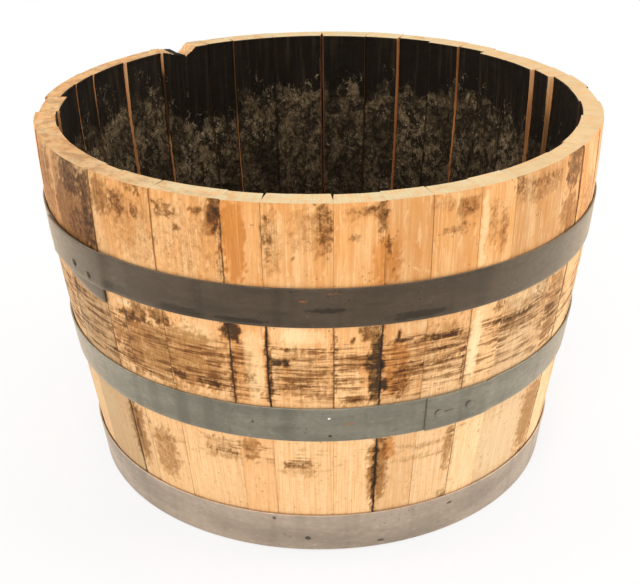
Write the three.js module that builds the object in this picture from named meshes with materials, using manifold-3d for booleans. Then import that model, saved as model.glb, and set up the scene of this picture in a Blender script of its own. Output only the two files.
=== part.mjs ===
// Half of an oak whiskey barrel, sawn across at its widest place and stood on its head end as a planter.
// Millimetres, +Z up, the floor at z = 0, the axis on the origin. The side shown to the viewer faces -Y.
// Angles are in degrees about +Z from +X, so 270 is the middle of the front.

import * as THREE from "three";
import Module from "manifold-3d";
import { mergeVertices } from "three/addons/utils/BufferGeometryUtils.js";

const wasm = await Module();
wasm.setup();

// ---------------------------------------------------------------- driving sizes

// The shell of the tub.
const HEIGHT = 438;
const BILGE_RADIUS = 330;
const BOW = 84.5;
const EASE = 39.7;
const STAVE_THICK = 26.5;
const JOINT_GAP = 0.3;
const RIM_CHAMFER = 1.2;
const FOOT_CHAMFER = 2.5;
const SHELL_STEPS = 8;

// How much of a stave's lean out of line is left below the bilge hoop, outside and inside, and the unit of the
// leans listed below.
const OUTER_LEAN_AT_FOOT = 0.3;
const INNER_LEAN_AT_FOOT = 0.75;
const LEAN_UNIT = 1;

// The machined end of the staves: howel, croze and chime.
const CROZE_HEIGHT = 38;
const CROZE_DEPTH = 6;
const HOWEL_TOP = 92;
const HOWEL_BOTTOM = 66;
const HOWEL_CUT = 2.4;
const CHIME_BEVEL_START = 17;
const CHIME_LAND = 13;

// The head, of boards tongued and grooved together.
const HEAD_THICK = 24;
const HEAD_EDGE = 4;
const HEAD_BEVEL = 28;
const HEAD_TURN = 24;
const SEAT_GAP = 0.4;
const TONGUE_THICK = 7;
const TONGUE_LONG = 6;
const DRAIN_RADIUS = 9.5;

// Shares of the head's radius: the joints between boards, and the drain holes.
const BOARD_JOINTS = [-0.68, -0.32, 0.03, 0.36, 0.71];
const DRAINS = [
  [-0.12, -0.08],
  [0.56, 0.19],
  [-0.5, 0.35],
  [-0.13, -0.65],
  [0.2, 0.61],
];

// The hoops, of flat strip lapped and riveted.
const HOOP_THICK = 1.9;
const HOOP_FIT = 0.75;
const LAP_GAP = 0.35;
const JOGGLE = 3;
const HOOP_STEP = 3.75;
const RIVET_SHANK = 2.4;
const RIVET_HEAD = 4.2;
const RIVET_DOME = 1.1;
const RIVET_GAP = 0.3;

// Each hoop's edges, the angle of its over end, the length of its lap in degrees, and the drop of its under end.
// A rivet is an angle and a share of the hoop's width, up from its lower edge.
const BILGE_HOOP = { top: 350.5, bottom: 306, overEnd: 204, lap: 21.4, drop: 18 };
const BILGE_RIVETS = [
  [216.5, 0.3],
  [221.4, 0.2],
];
const QUARTER_HOOP = { top: 205, bottom: 161.5, overEnd: 290.4, lap: 13.5, drop: 0 };
const QUARTER_RIVETS = [
  [293, 0.5],
  [300, 0.5],
];
const HEAD_HOOP = { top: 53, bottom: 1.2, overEnd: 58, lap: 15, drop: 0 };
const HEAD_RIVETS = [
  [61.5, 0.5],
  [69, 0.5],
];

// Each stave by its first joint, how far its outer face stands in at the rim, and how far its inner face stands in.
const STAVES = [
  [338, 0.3, 0.5],
  [346, 0.8, -1.5],
  [356, 3.0, 0.5],
  [6.3, 0.6, -0.5],
  [15.5, 3.4, 6.5],
  [22.5, 5.5, 11.5],
  [33.5, 7.5, 12],
  [42.4, 3.4, 2.5],
  [50.3, 1.4, 4.5],
  [59.3, 2.4, -1.5],
  [68.1, 0.8, 2.5],
  [77.2, 1.8, 3.6],
  [89, 2.6, 2.0],
  [102, 1.2, 2.6],
  [113.3, 2.0, 1.2],
  [120.5, 0.2, 3.5],
  [134.6, 3.0, 0.3],
  [146.6, 1.8, -3.2],
  [158.6, 0.6, -4.6],
  [166.6, 0.4, -5.6],
  [176.5, 4.4, 2.6],
  [187, 0.2, -0.5],
  [198, 1.2, 0.8],
  [210.4, 0.3, 1.2],
  [224.9, 1.5, -0.8],
  [230, 0.4, 0.6],
  [239.9, 1.6, 1.4],
  [253.3, 0.2, -0.6],
  [260.2, 1.1, 0.8],
  [272.2, 0.4, -0.9],
  [280.8, 1.7, 1.2],
  [289.2, 0.5, -0.4],
  [298.2, 0.0, 1.6],
  [305.8, 1.2, 0.2],
  [320, 2.4, -1.2],
  [327.5, 0.9, 0.9],
];

// The chipped stave end behind on the left, and the drying split in the rim at the left.
const CHIP_STAVE = 15;
const CHIP = { from: 123.4, deepest: 129.6, to: 135.6, depth: 8.5, shoulder: 131.6, step: 1.4, fall: 13 };
const SPLIT_STAVE = 21;
const SPLIT = { angle: 192, radius: 307.5, length: 17, width: 1.5, depth: 12 };

const OAK = [0xd9a56b, 0xe2b27a, 0xcf9a60, 0xdcae77, 0xe6ba86];
const HEAD_OAK = 0x5b4636;
const STEEL = [0x4f473e, 0x7f796d, 0xa0907f];

// ---------------------------------------------------------------- helpers

const degree = Math.PI / 180;

function outerRadius(z) {
  const s = (HEIGHT - z) / HEIGHT;
  return BILGE_RADIUS - BOW * s * s + EASE * s * s * s;
}

function smooth(t) {
  const k = Math.min(1, Math.max(0, t));
  return k * k * (3 - 2 * k);
}

function lean(z, atFoot) {
  const hold = BILGE_HOOP.bottom;
  return atFoot + (1 - atFoot) * smooth((z - hold) / (HEIGHT - hold));
}

function toSolid(geometry) {
  const bare = geometry.clone();
  bare.deleteAttribute("normal");
  bare.deleteAttribute("uv");
  const merged = mergeVertices(bare, 1e-4);
  return new wasm.Manifold(
    new wasm.Mesh({
      numProp: 3,
      vertProperties: new Float32Array(merged.attributes.position.array),
      triVerts: new Uint32Array(merged.index.array),
    }),
  );
}

function fromSolid(solid) {
  const data = solid.getMesh();
  const geometry = new THREE.BufferGeometry();
  geometry.setAttribute("position", new THREE.BufferAttribute(data.vertProperties, 3));
  geometry.setIndex(new THREE.BufferAttribute(data.triVerts, 1));
  return geometry;
}

function wood(colour, roughness = 0.8) {
  return new THREE.MeshStandardMaterial({ color: colour, roughness, metalness: 0 });
}

function steel(colour) {
  return new THREE.MeshStandardMaterial({ color: colour, roughness: 0.5, metalness: 0.85 });
}

function part(name, geometry, material) {
  const flat = geometry.index ? geometry.toNonIndexed() : geometry;
  flat.computeVertexNormals();
  const mesh = new THREE.Mesh(flat, material);
  mesh.name = name;
  return mesh;
}

// A closed body from rings of corners: ring after ring along the length, both ends capped by the same outline.
function loft(rings, outline) {
  const around = rings[0].length;
  const positions = rings.flat(2);
  const faces = [];
  for (let i = 0; i < rings.length - 1; i++) {
    for (let j = 0; j < around; j++) {
      const k = (j + 1) % around;
      const a = i * around + j;
      const b = (i + 1) * around + j;
      const c = (i + 1) * around + k;
      const d = i * around + k;
      faces.push(a, b, c, a, c, d);
    }
  }
  const last = (rings.length - 1) * around;
  for (const [a, b, c] of THREE.ShapeUtils.triangulateShape(outline, [])) {
    faces.push(a, b, c);
    faces.push(last + a, last + c, last + b);
  }
  const geometry = new THREE.BufferGeometry();
  geometry.setAttribute("position", new THREE.Float32BufferAttribute(positions, 3));
  geometry.setIndex(faces);
  return geometry;
}

// ---------------------------------------------------------------- staves

// The head's half thickness at a radius inside the croze; the groove follows it.
const crozeWall = outerRadius(CROZE_HEIGHT) - STAVE_THICK + HOWEL_CUT;
const crozeBottom = crozeWall + CROZE_DEPTH;
const headRadius = crozeBottom - 2 * SEAT_GAP;
const bevelSlope = (HEAD_THICK - HEAD_EDGE) / 2 / HEAD_BEVEL;

function headHalf(r) {
  return Math.min(HEAD_THICK / 2, HEAD_EDGE / 2 + (headRadius - r) * bevelSlope);
}

function staveOutline(shy, inward) {
  const points = [];
  const outer = (z) => outerRadius(z) - shy * LEAN_UNIT * lean(z, OUTER_LEAN_AT_FOOT);
  const inner = (z) => outerRadius(z) - STAVE_THICK - inward * LEAN_UNIT * lean(z, INNER_LEAN_AT_FOOT);
  const station = (k) => (HEIGHT * k) / SHELL_STEPS;
  const add = (r, z) => points.push(new THREE.Vector2(r, z));
  const mouth = headHalf(crozeWall) + SEAT_GAP;
  const floor = headHalf(crozeBottom) + SEAT_GAP;

  add(outer(FOOT_CHAMFER), FOOT_CHAMFER);
  for (let k = 1; k < SHELL_STEPS; k++) add(outer(station(k)), station(k));
  add(outer(HEIGHT - RIM_CHAMFER), HEIGHT - RIM_CHAMFER);
  add(outer(HEIGHT) - RIM_CHAMFER, HEIGHT);
  add(inner(HEIGHT) + RIM_CHAMFER, HEIGHT);
  add(inner(HEIGHT - RIM_CHAMFER), HEIGHT - RIM_CHAMFER);
  for (let k = SHELL_STEPS - 1; station(k) > HOWEL_TOP * 1.3; k--) add(inner(station(k)), station(k));
  add(inner(HOWEL_TOP), HOWEL_TOP);
  add(outerRadius(HOWEL_BOTTOM) - STAVE_THICK + HOWEL_CUT, HOWEL_BOTTOM);
  add(crozeWall, CROZE_HEIGHT + mouth);
  add(crozeBottom, CROZE_HEIGHT + floor);
  add(crozeBottom, CROZE_HEIGHT - floor);
  add(crozeWall, CROZE_HEIGHT - mouth);
  add(crozeWall, CHIME_BEVEL_START);
  add(outerRadius(0) - CHIME_LAND, 0);
  add(outer(0) - FOOT_CHAMFER, 0);
  return points;
}

// Radial side faces: each stands half a joint gap back from the joint's plane.
function staveBody(from, to, shy, inward) {
  const outline = staveOutline(shy, inward);
  const steps = Math.max(2, Math.ceil((to - from) / 4.2));
  const rings = [];
  for (let i = 0; i <= steps; i++) {
    rings.push(
      outline.map(({ x: r, y: z }) => {
        const back = Math.asin(JOINT_GAP / 2 / r);
        const start = from * degree + back;
        const end = to * degree - back;
        const angle = start + ((end - start) * i) / steps;
        return [r * Math.cos(angle), r * Math.sin(angle), z];
      }),
    );
  }
  return loft(rings, outline);
}

// A wedge that takes the chip out of the rim: a steep flank to the right, a low shoulder that falls away outside.
function chipCutter() {
  const beyond = 0.75 * STAVE_THICK;
  const inside = BILGE_RADIUS - 2.6 * STAVE_THICK;
  const outside = BILGE_RADIUS + beyond;
  const over = HEIGHT + 2 * CHIP.depth;
  const corners = (r, fall) => [
    [CHIP.from, HEIGHT + RIM_CHAMFER / 2, r],
    [CHIP.deepest, HEIGHT - CHIP.depth - fall * 0.4, r],
    [CHIP.shoulder, HEIGHT - CHIP.step - fall, r],
    [CHIP.to, HEIGHT - CHIP.step * 0.7 - fall, r],
    [CHIP.to, over, r],
    [CHIP.from, over, r],
  ];
  const place = ([angle, z, r]) => [r * Math.cos(angle * degree), r * Math.sin(angle * degree), z];
  const outline = corners(1, 0).map(([angle, z]) => new THREE.Vector2(angle, z));
  const rise = CHIP.fall * ((BILGE_RADIUS - STAVE_THICK - inside) / STAVE_THICK);
  const rings = [
    corners(outside, CHIP.fall * (1 + beyond / STAVE_THICK)).map(place),
    corners(inside, -rise).map(place),
  ];
  return toSolid(loft(rings, outline));
}

function splitCutter() {
  const box = new THREE.BoxGeometry(SPLIT.width, SPLIT.length, 2 * SPLIT.depth);
  box.translate(SPLIT.radius, 0, HEIGHT);
  box.rotateZ(SPLIT.angle * degree);
  return toSolid(box);
}

function staves() {
  const group = new THREE.Group();
  STAVES.forEach(([from, shy, inward], i) => {
    const next = STAVES[(i + 1) % STAVES.length][0];
    const to = next > from ? next : next + 360;
    let body = staveBody(from, to, shy, inward);
    if (i === CHIP_STAVE) body = fromSolid(toSolid(body).subtract(chipCutter()));
    if (i === SPLIT_STAVE) body = fromSolid(toSolid(body).subtract(splitCutter()));
    const name = "stave_" + String(i + 1).padStart(2, "0");
    group.add(part(name, body, wood(OAK[i % OAK.length])));
  });
  return group;
}

// ---------------------------------------------------------------- head

function headDisc() {
  const low = CROZE_HEIGHT - HEAD_THICK / 2;
  const high = CROZE_HEIGHT + HEAD_THICK / 2;
  const shoulder = headRadius - HEAD_BEVEL;
  const profile = [
    new THREE.Vector2(0, low),
    new THREE.Vector2(shoulder, low),
    new THREE.Vector2(headRadius, CROZE_HEIGHT - HEAD_EDGE / 2),
    new THREE.Vector2(headRadius, CROZE_HEIGHT + HEAD_EDGE / 2),
    new THREE.Vector2(shoulder, high),
    new THREE.Vector2(0, high),
  ];
  const disc = new THREE.LatheGeometry(profile, 96);
  disc.rotateX(Math.PI / 2);
  return toSolid(disc);
}

// The section of one board, its tongue on the side of the greater x and its groove on the other.
function boardSection(left, right, grooved, tongued) {
  const low = CROZE_HEIGHT - HEAD_THICK;
  const high = CROZE_HEIGHT + HEAD_THICK;
  const half = TONGUE_THICK / 2;
  const slack = JOINT_GAP;
  const shape = new THREE.Shape();
  shape.moveTo(left, low);
  shape.lineTo(right, low);
  if (tongued) {
    shape.lineTo(right, CROZE_HEIGHT - half);
    shape.lineTo(right + TONGUE_LONG, CROZE_HEIGHT - half);
    shape.lineTo(right + TONGUE_LONG, CROZE_HEIGHT + half);
    shape.lineTo(right, CROZE_HEIGHT + half);
  }
  shape.lineTo(right, high);
  shape.lineTo(left, high);
  if (grooved) {
    shape.lineTo(left, CROZE_HEIGHT + half + slack);
    shape.lineTo(left + TONGUE_LONG + slack, CROZE_HEIGHT + half + slack);
    shape.lineTo(left + TONGUE_LONG + slack, CROZE_HEIGHT - half - slack);
    shape.lineTo(left, CROZE_HEIGHT - half - slack);
  }
  shape.closePath();
  const long = 2.1 * headRadius;
  const bar = new THREE.ExtrudeGeometry(shape, { depth: long, bevelEnabled: false });
  bar.rotateX(Math.PI / 2);
  bar.translate(0, long / 2, 0);
  return toSolid(bar);
}

function drainHole([x, y]) {
  const hole = new THREE.CylinderGeometry(DRAIN_RADIUS, DRAIN_RADIUS, 3 * HEAD_THICK, 20);
  hole.rotateX(Math.PI / 2);
  hole.translate(x * headRadius, y * headRadius, CROZE_HEIGHT);
  return toSolid(hole);
}

function head() {
  const group = new THREE.Group();
  const disc = headDisc();
  const shares = [-1.05, ...BOARD_JOINTS, 1.05];
  const edges = shares.map((share) => share * headRadius);
  for (let i = 0; i < edges.length - 1; i++) {
    const left = edges[i] + (i > 0 ? JOINT_GAP / 2 : 0);
    const right = edges[i + 1] - JOINT_GAP / 2;
    const grooved = i > 0;
    const tongued = i < edges.length - 2;
    let board = disc.intersect(boardSection(left, right, grooved, tongued));
    for (const spot of DRAINS) {
      if (spot[0] > shares[i] && spot[0] < shares[i + 1]) board = board.subtract(drainHole(spot));
    }
    const geometry = fromSolid(board);
    geometry.rotateZ(HEAD_TURN * degree);
    group.add(part("head_board_" + (i + 1), geometry, wood(HEAD_OAK, 0.9)));
  }
  return group;
}

// ---------------------------------------------------------------- hoops

// How far the strip lies off the staves: up over its own end for the length of the lap, then down a joggle.
function hoopLift(turned, lap) {
  return (HOOP_THICK + LAP_GAP) * (1 - smooth((turned - lap - 0.4) / JOGGLE));
}

function hoopBody({ top, bottom, overEnd, lap, drop }) {
  const turn = 360 + lap;
  const stops = [];
  const plain = Math.ceil((turn - lap - JOGGLE) / HOOP_STEP);
  for (let i = 0; i < 6; i++) stops.push((lap * i) / 6);
  for (let i = 0; i < 5; i++) stops.push(lap + 0.4 + (JOGGLE * i) / 5);
  for (let i = 0; i <= plain; i++) stops.push(lap + 0.4 + JOGGLE + ((turn - lap - 0.4 - JOGGLE) * i) / plain);
  const rings = stops.map((turned) => {
    const lift = hoopLift(turned, lap);
    const sunk = drop * smooth((turned - 360) / lap);
    const angle = (overEnd + turned) * degree;
    const high = top - sunk;
    const low = bottom - sunk;
    const tilt = (outerRadius(high) - outerRadius(low)) / (high - low);
    const inHigh = outerRadius(high) + HOOP_FIT + lift;
    const inLow = outerRadius(low) + HOOP_FIT + lift;
    const corner = (r, z) => [r * Math.cos(angle), r * Math.sin(angle), z];
    return [
      corner(inLow, low),
      corner(inLow + HOOP_THICK, low - HOOP_THICK * tilt * 0.5),
      corner(inHigh + HOOP_THICK, high - HOOP_THICK * tilt * 0.5),
      corner(inHigh, high),
    ];
  });
  const outline = [
    new THREE.Vector2(0, 0),
    new THREE.Vector2(1, 0),
    new THREE.Vector2(1, 1),
    new THREE.Vector2(0, 1),
  ];
  return loft(rings, outline);
}

// Puts a body made about +Y on the shell at an angle and height, its +Y pointing out of the staves.
function seatOnShell(geometry, angle, z, off) {
  const slope = (outerRadius(z + 1) - outerRadius(z - 1)) / 2;
  const out = new THREE.Vector3(Math.cos(angle * degree), Math.sin(angle * degree), -slope).normalize();
  geometry.applyQuaternion(new THREE.Quaternion().setFromUnitVectors(new THREE.Vector3(0, 1, 0), out));
  const r = outerRadius(z) + HOOP_FIT;
  geometry.translate(r * Math.cos(angle * degree), r * Math.sin(angle * degree), z);
  geometry.translate(out.x * off, out.y * off, out.z * off);
  return geometry;
}

const lapThick = 2 * HOOP_THICK + LAP_GAP;

function rivetHole(angle, z) {
  const hole = new THREE.CylinderGeometry(RIVET_SHANK + RIVET_GAP, RIVET_SHANK + RIVET_GAP, 14, 16);
  return toSolid(seatOnShell(hole, angle, z, lapThick / 2));
}

function rivetBody(angle, z) {
  const under = lapThick + RIVET_GAP + 0.25;
  const profile = [
    new THREE.Vector2(0, 0),
    new THREE.Vector2(RIVET_SHANK, 0),
    new THREE.Vector2(RIVET_SHANK, under),
    new THREE.Vector2(RIVET_HEAD, under),
    new THREE.Vector2(RIVET_HEAD * 0.93, under + RIVET_DOME * 0.45),
    new THREE.Vector2(RIVET_HEAD * 0.6, under + RIVET_DOME * 0.88),
    new THREE.Vector2(0, under + RIVET_DOME),
  ];
  return seatOnShell(new THREE.LatheGeometry(profile, 16), angle, z, 0);
}

function hoopWithRivets(name, hoop, rivets, colour) {
  const group = new THREE.Group();
  let body = toSolid(hoopBody(hoop));
  rivets.forEach(([angle, share], k) => {
    const z = hoop.bottom + share * (hoop.top - hoop.bottom);
    body = body.subtract(rivetHole(angle, z));
    group.add(part(name + "_rivet_" + (k + 1), rivetBody(angle, z), steel(colour)));
  });
  group.add(part(name + "_hoop", fromSolid(body), steel(colour)));
  return group;
}

// ---------------------------------------------------------------- the planter

const group = new THREE.Group();
group.name = "barrel_planter";
group.add(staves());
group.add(head());
group.add(hoopWithRivets("bilge", BILGE_HOOP, BILGE_RIVETS, STEEL[0]));
group.add(hoopWithRivets("quarter", QUARTER_HOOP, QUARTER_RIVETS, STEEL[1]));
group.add(hoopWithRivets("head", HEAD_HOOP, HEAD_RIVETS, STEEL[2]));

export default group;
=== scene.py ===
"""Builds the looks of a half-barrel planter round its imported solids: oak staves, head boards, hoops and rivets, and a
pale studio. Metres, +Z up, the floor at z = 0 and the axis of the tub on the origin. Angles are in degrees about +Z
from +X, so 270 is the middle of the side shown to the camera."""

import math
import random

import bmesh
import bpy
from bpy.props import FloatProperty, FloatVectorProperty, IntProperty, PointerProperty
from mathutils import Matrix, Vector, noise


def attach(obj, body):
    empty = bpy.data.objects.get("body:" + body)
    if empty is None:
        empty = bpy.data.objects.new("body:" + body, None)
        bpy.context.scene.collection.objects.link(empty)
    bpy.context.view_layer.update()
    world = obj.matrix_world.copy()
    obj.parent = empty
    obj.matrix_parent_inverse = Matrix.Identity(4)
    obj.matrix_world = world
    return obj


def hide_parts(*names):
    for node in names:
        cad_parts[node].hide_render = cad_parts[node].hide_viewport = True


bl_info = {
    "name": "Barrel Planter",
    "version": (1, 0, 0),
    "blender": (4, 5, 0),
    "location": "View3D > Sidebar > Planter",
    "description": "Builds a half whiskey barrel planter from staves, head boards, hoops and rivets",
    "category": "Add Mesh",
}

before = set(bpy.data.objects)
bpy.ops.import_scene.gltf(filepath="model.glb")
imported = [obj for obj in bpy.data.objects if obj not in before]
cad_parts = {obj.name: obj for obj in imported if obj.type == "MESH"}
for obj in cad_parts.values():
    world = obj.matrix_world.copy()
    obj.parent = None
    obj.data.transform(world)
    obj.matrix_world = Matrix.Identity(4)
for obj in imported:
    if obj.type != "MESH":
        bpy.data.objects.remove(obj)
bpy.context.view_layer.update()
MM = 0.001

# ---------------------------------------------------------------- the tub's own lists

# Each stave by its first joint, how far its outer face stands in at the rim, and how far its inner face does, in mm.
STAVES = [
    (338, 0.3, 0.5), (346, 0.8, -1.5), (356, 3.0, 0.5), (6.3, 0.6, -0.5), (15.5, 3.4, 6.5), (22.5, 5.5, 11.5),
    (33.5, 7.5, 12), (42.4, 3.4, 2.5), (50.3, 1.4, 4.5), (59.3, 2.4, -1.5), (68.1, 0.8, 2.5), (77.2, 1.8, 3.6),
    (89, 2.6, 2.0), (102, 1.2, 2.6), (113.3, 2.0, 1.2), (120.5, 0.2, 3.5), (134.6, 3.0, 0.3), (146.6, 1.8, -3.2),
    (158.6, 0.6, -4.6), (166.6, 0.4, -5.6), (176.5, 4.4, 2.6), (187, 0.2, -0.5), (198, 1.2, 0.8), (210.4, 0.3, 1.2),
    (224.9, 1.5, -0.8), (230, 0.4, 0.6), (239.9, 1.6, 1.4), (253.3, 0.2, -0.6), (260.2, 1.1, 0.8),
    (272.2, 0.4, -0.9), (280.8, 1.7, 1.2), (289.2, 0.5, -0.4), (298.2, 0.0, 1.6), (305.8, 1.2, 0.2),
    (320, 2.4, -1.2), (327.5, 0.9, 0.9),
]
CHIPPED = 16
SPLIT = 22

# The finishes of a stave, in the order of its material slots.
OUTSIDE, RIM, CHAR, SIDE, FOOT, BREAK = range(6)

# What each corner of a stave carries for the finishes, and the kind of layer that holds it.
LAYERS = {
    "stave": "float_vector", "joint": "float", "tone": "float_vector", "stain": "float_color", "scar": "float",
    "burn": "float", "seam": "float", "bare": "float", "blister": "float",
}

# Widths of broken edges: staves outside and inside, head boards, hoops, and the corners of the split.
OUTER_EDGE, INNER_EDGE, BOARD_EDGE, STRIP_EDGE, SPLIT_EDGE = 0.00025, 0.0009, 0.0008, 0.0004, 0.00075

# Width and height of a block between the cracks of the burnt inside.
BLOCK_WIDE, BLOCK_TALL = 0.0085, 0.012

# Bands outside that hoops and their driver scarred: lower end and its fade, upper end and its fade, strength.
SCAR_BANDS = ((0.203, 0.012, 0.293, 0.014, 1.0), (0.108, 0.02, 0.158, 0.012, 0.5))

# Heights inside where the bareness of a joint starts to change, and over how much: up from low, and up to the rim.
BARE_ABOVE_LOW, BARE_TO_RIM = (0.345, 0.03), (0.385, 0.045)

# The break in the chipped stave's end: angle, how deep it lies at the inner face in mm, and how it tilts outwards, down
# above 0 and up below.
CHIP_COURSE = [
    (125.0, 2.4, 0.10), (126.0, 6.2, 0.25), (126.8, 9.0, 0.33), (127.6, 8.8, 0.08), (128.3, 8.6, -0.14),
    (129.0, 7.6, -0.22), (129.7, 6.6, -0.21), (130.9, 4.6, -0.14), (132.0, 2.4, -0.08), (133.2, 0.8, -0.03),
]
CHIP_RIGHT, CHIP_FRESH_TO, CHIP_BURNT_TO, CHIP_LEFT = 124.3, 127.4, 131.2, 134.4

# The drying split in the sawn end of its stave: angle, distance from the axis, length, width and depth.
SPLIT_ANGLE, SPLIT_RADIUS = 192, 0.3075
SPLIT_LENGTH, SPLIT_WIDTH, SPLIT_DEPTH = 0.017, 0.0016, 0.012

# How much of a stave's lean out of line is left below the bilge hoop, outside and inside.
OUTER_LEAN_AT_FOOT, INNER_LEAN_AT_FOOT = 0.3, 0.75

# The groove for the head: half its height at its mouth and at its floor. The chime: its bevel's start, and its land.
CROZE_MOUTH, CROZE_FLOOR = 0.0067, 0.0027
CHIME_START, CHIME_LAND = 0.017, 0.013

# Steps up the outside and down the inside of a stave, across its rim, and round the tub in degrees.
OUT_STEPS, IN_STEPS, RIM_STEPS, ROUND_STEP = 110, 118, 6, 0.52

# Joints that the drying has opened towards the inside, by angle, and how far each stave's edge stands back, in mm.
OPEN_JOINTS = {
    15.5: 1.0, 22.5: 1.0, 50.3: 1.1, 68.1: 1.5, 77.2: 0.4, 89: 2.0, 113.3: 0.8, 120.5: 0.6, 134.6: 0.8, 146.6: 1.5,
    158.6: 0.6, 166.6: 0.9, 187: 0.6, 239.9: 0.8, 260.2: 1.5, 272.2: 1.5, 289.2: 0.5,
}

# How bare the wood is where a joint shows inside, by angle: at the rim, under it and low. 1 is golden, 0 is burnt.
BARE_JOINTS = {
    356: (0.0, 0.0, 0.0), 6.3: (0.0, 0.0, 0.0), 15.5: (1.25, 0.45, 0.2), 22.5: (1.15, 1.0, 0.9),
    33.5: (0.0, 0.0, 0.0), 50.3: (0.75, 0.95, 0.95), 68.1: (0.95, 1.0, 1.0), 77.2: (0.3, 0.4, 0.35),
    89: (0.4, 0.75, 0.6), 113.3: (0.25, 0.3, 0.85), 120.5: (0.05, 0.35, 0.5), 134.6: (1.2, -1.4, 0.95),
    146.6: (1.2, 1.1, 1.0), 158.6: (1.1, 0.4, 0.35), 166.6: (1.0, 1.1, 1.0), 187: (1.0, 1.0, 1.0),
    260.2: (0.1, 0.1, 0.1), 272.2: (0.1, 0.1, 0.1),
}

# How dark the joints are outside, by angle: above the bilge hoop, between the hoops, and below.
DARK_JOINTS = {
    210.4: (0.5, 0.5, 0.4), 224.9: (0.8, 0.4, 0.8), 230: (0.2, 0.65, 0.5), 239.9: (0.6, 0.1, 0.1),
    253.3: (0.85, 0.85, 0.35), 260.2: (0.4, 1.0, 0.3), 272.2: (0.2, 0.7, 0.2), 280.8: (0.5, 1.0, 1.0),
    289.2: (0.08, 0.12, 0.15), 298.2: (0.2, 0.7, 0.6), 305.8: (0.15, 0.3, 0.2), 320: (0.3, 0.3, 0.4),
    327.5: (0.8, 0.7, 0.6), 338: (0.6, 0.6, 0.5),
}

# The ragged line between the smooth and the blistered char: angle, height in mm.
CHAR_LINE = [
    (18, 351), (35, 356), (44, 380), (56, 366), (67, 358), (84, 370), (90, 364), (98, 360), (105, 366), (111, 356),
    (115, 325), (123, 328), (131, 342), (136, 375), (143, 396), (150, 386), (160, 372), (190, 365), (378, 351),
]

# Each stave's own shade: lightness, warmth. A stave that isn't listed gets a chance one near 1.
SHADES = {
    23: (0.75, 0.85), 24: (0.57, 0.8), 25: (0.8, 0.95), 26: (0.88, 1.0), 27: (0.92, 1.0), 28: (0.98, 1.25),
    29: (1.0, 1.0), 30: (1.02, 1.0), 31: (0.91, 1.2), 32: (0.95, 1.0), 33: (1.0, 0.95), 34: (0.82, 0.85),
    35: (0.98, 1.0),
}

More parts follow.
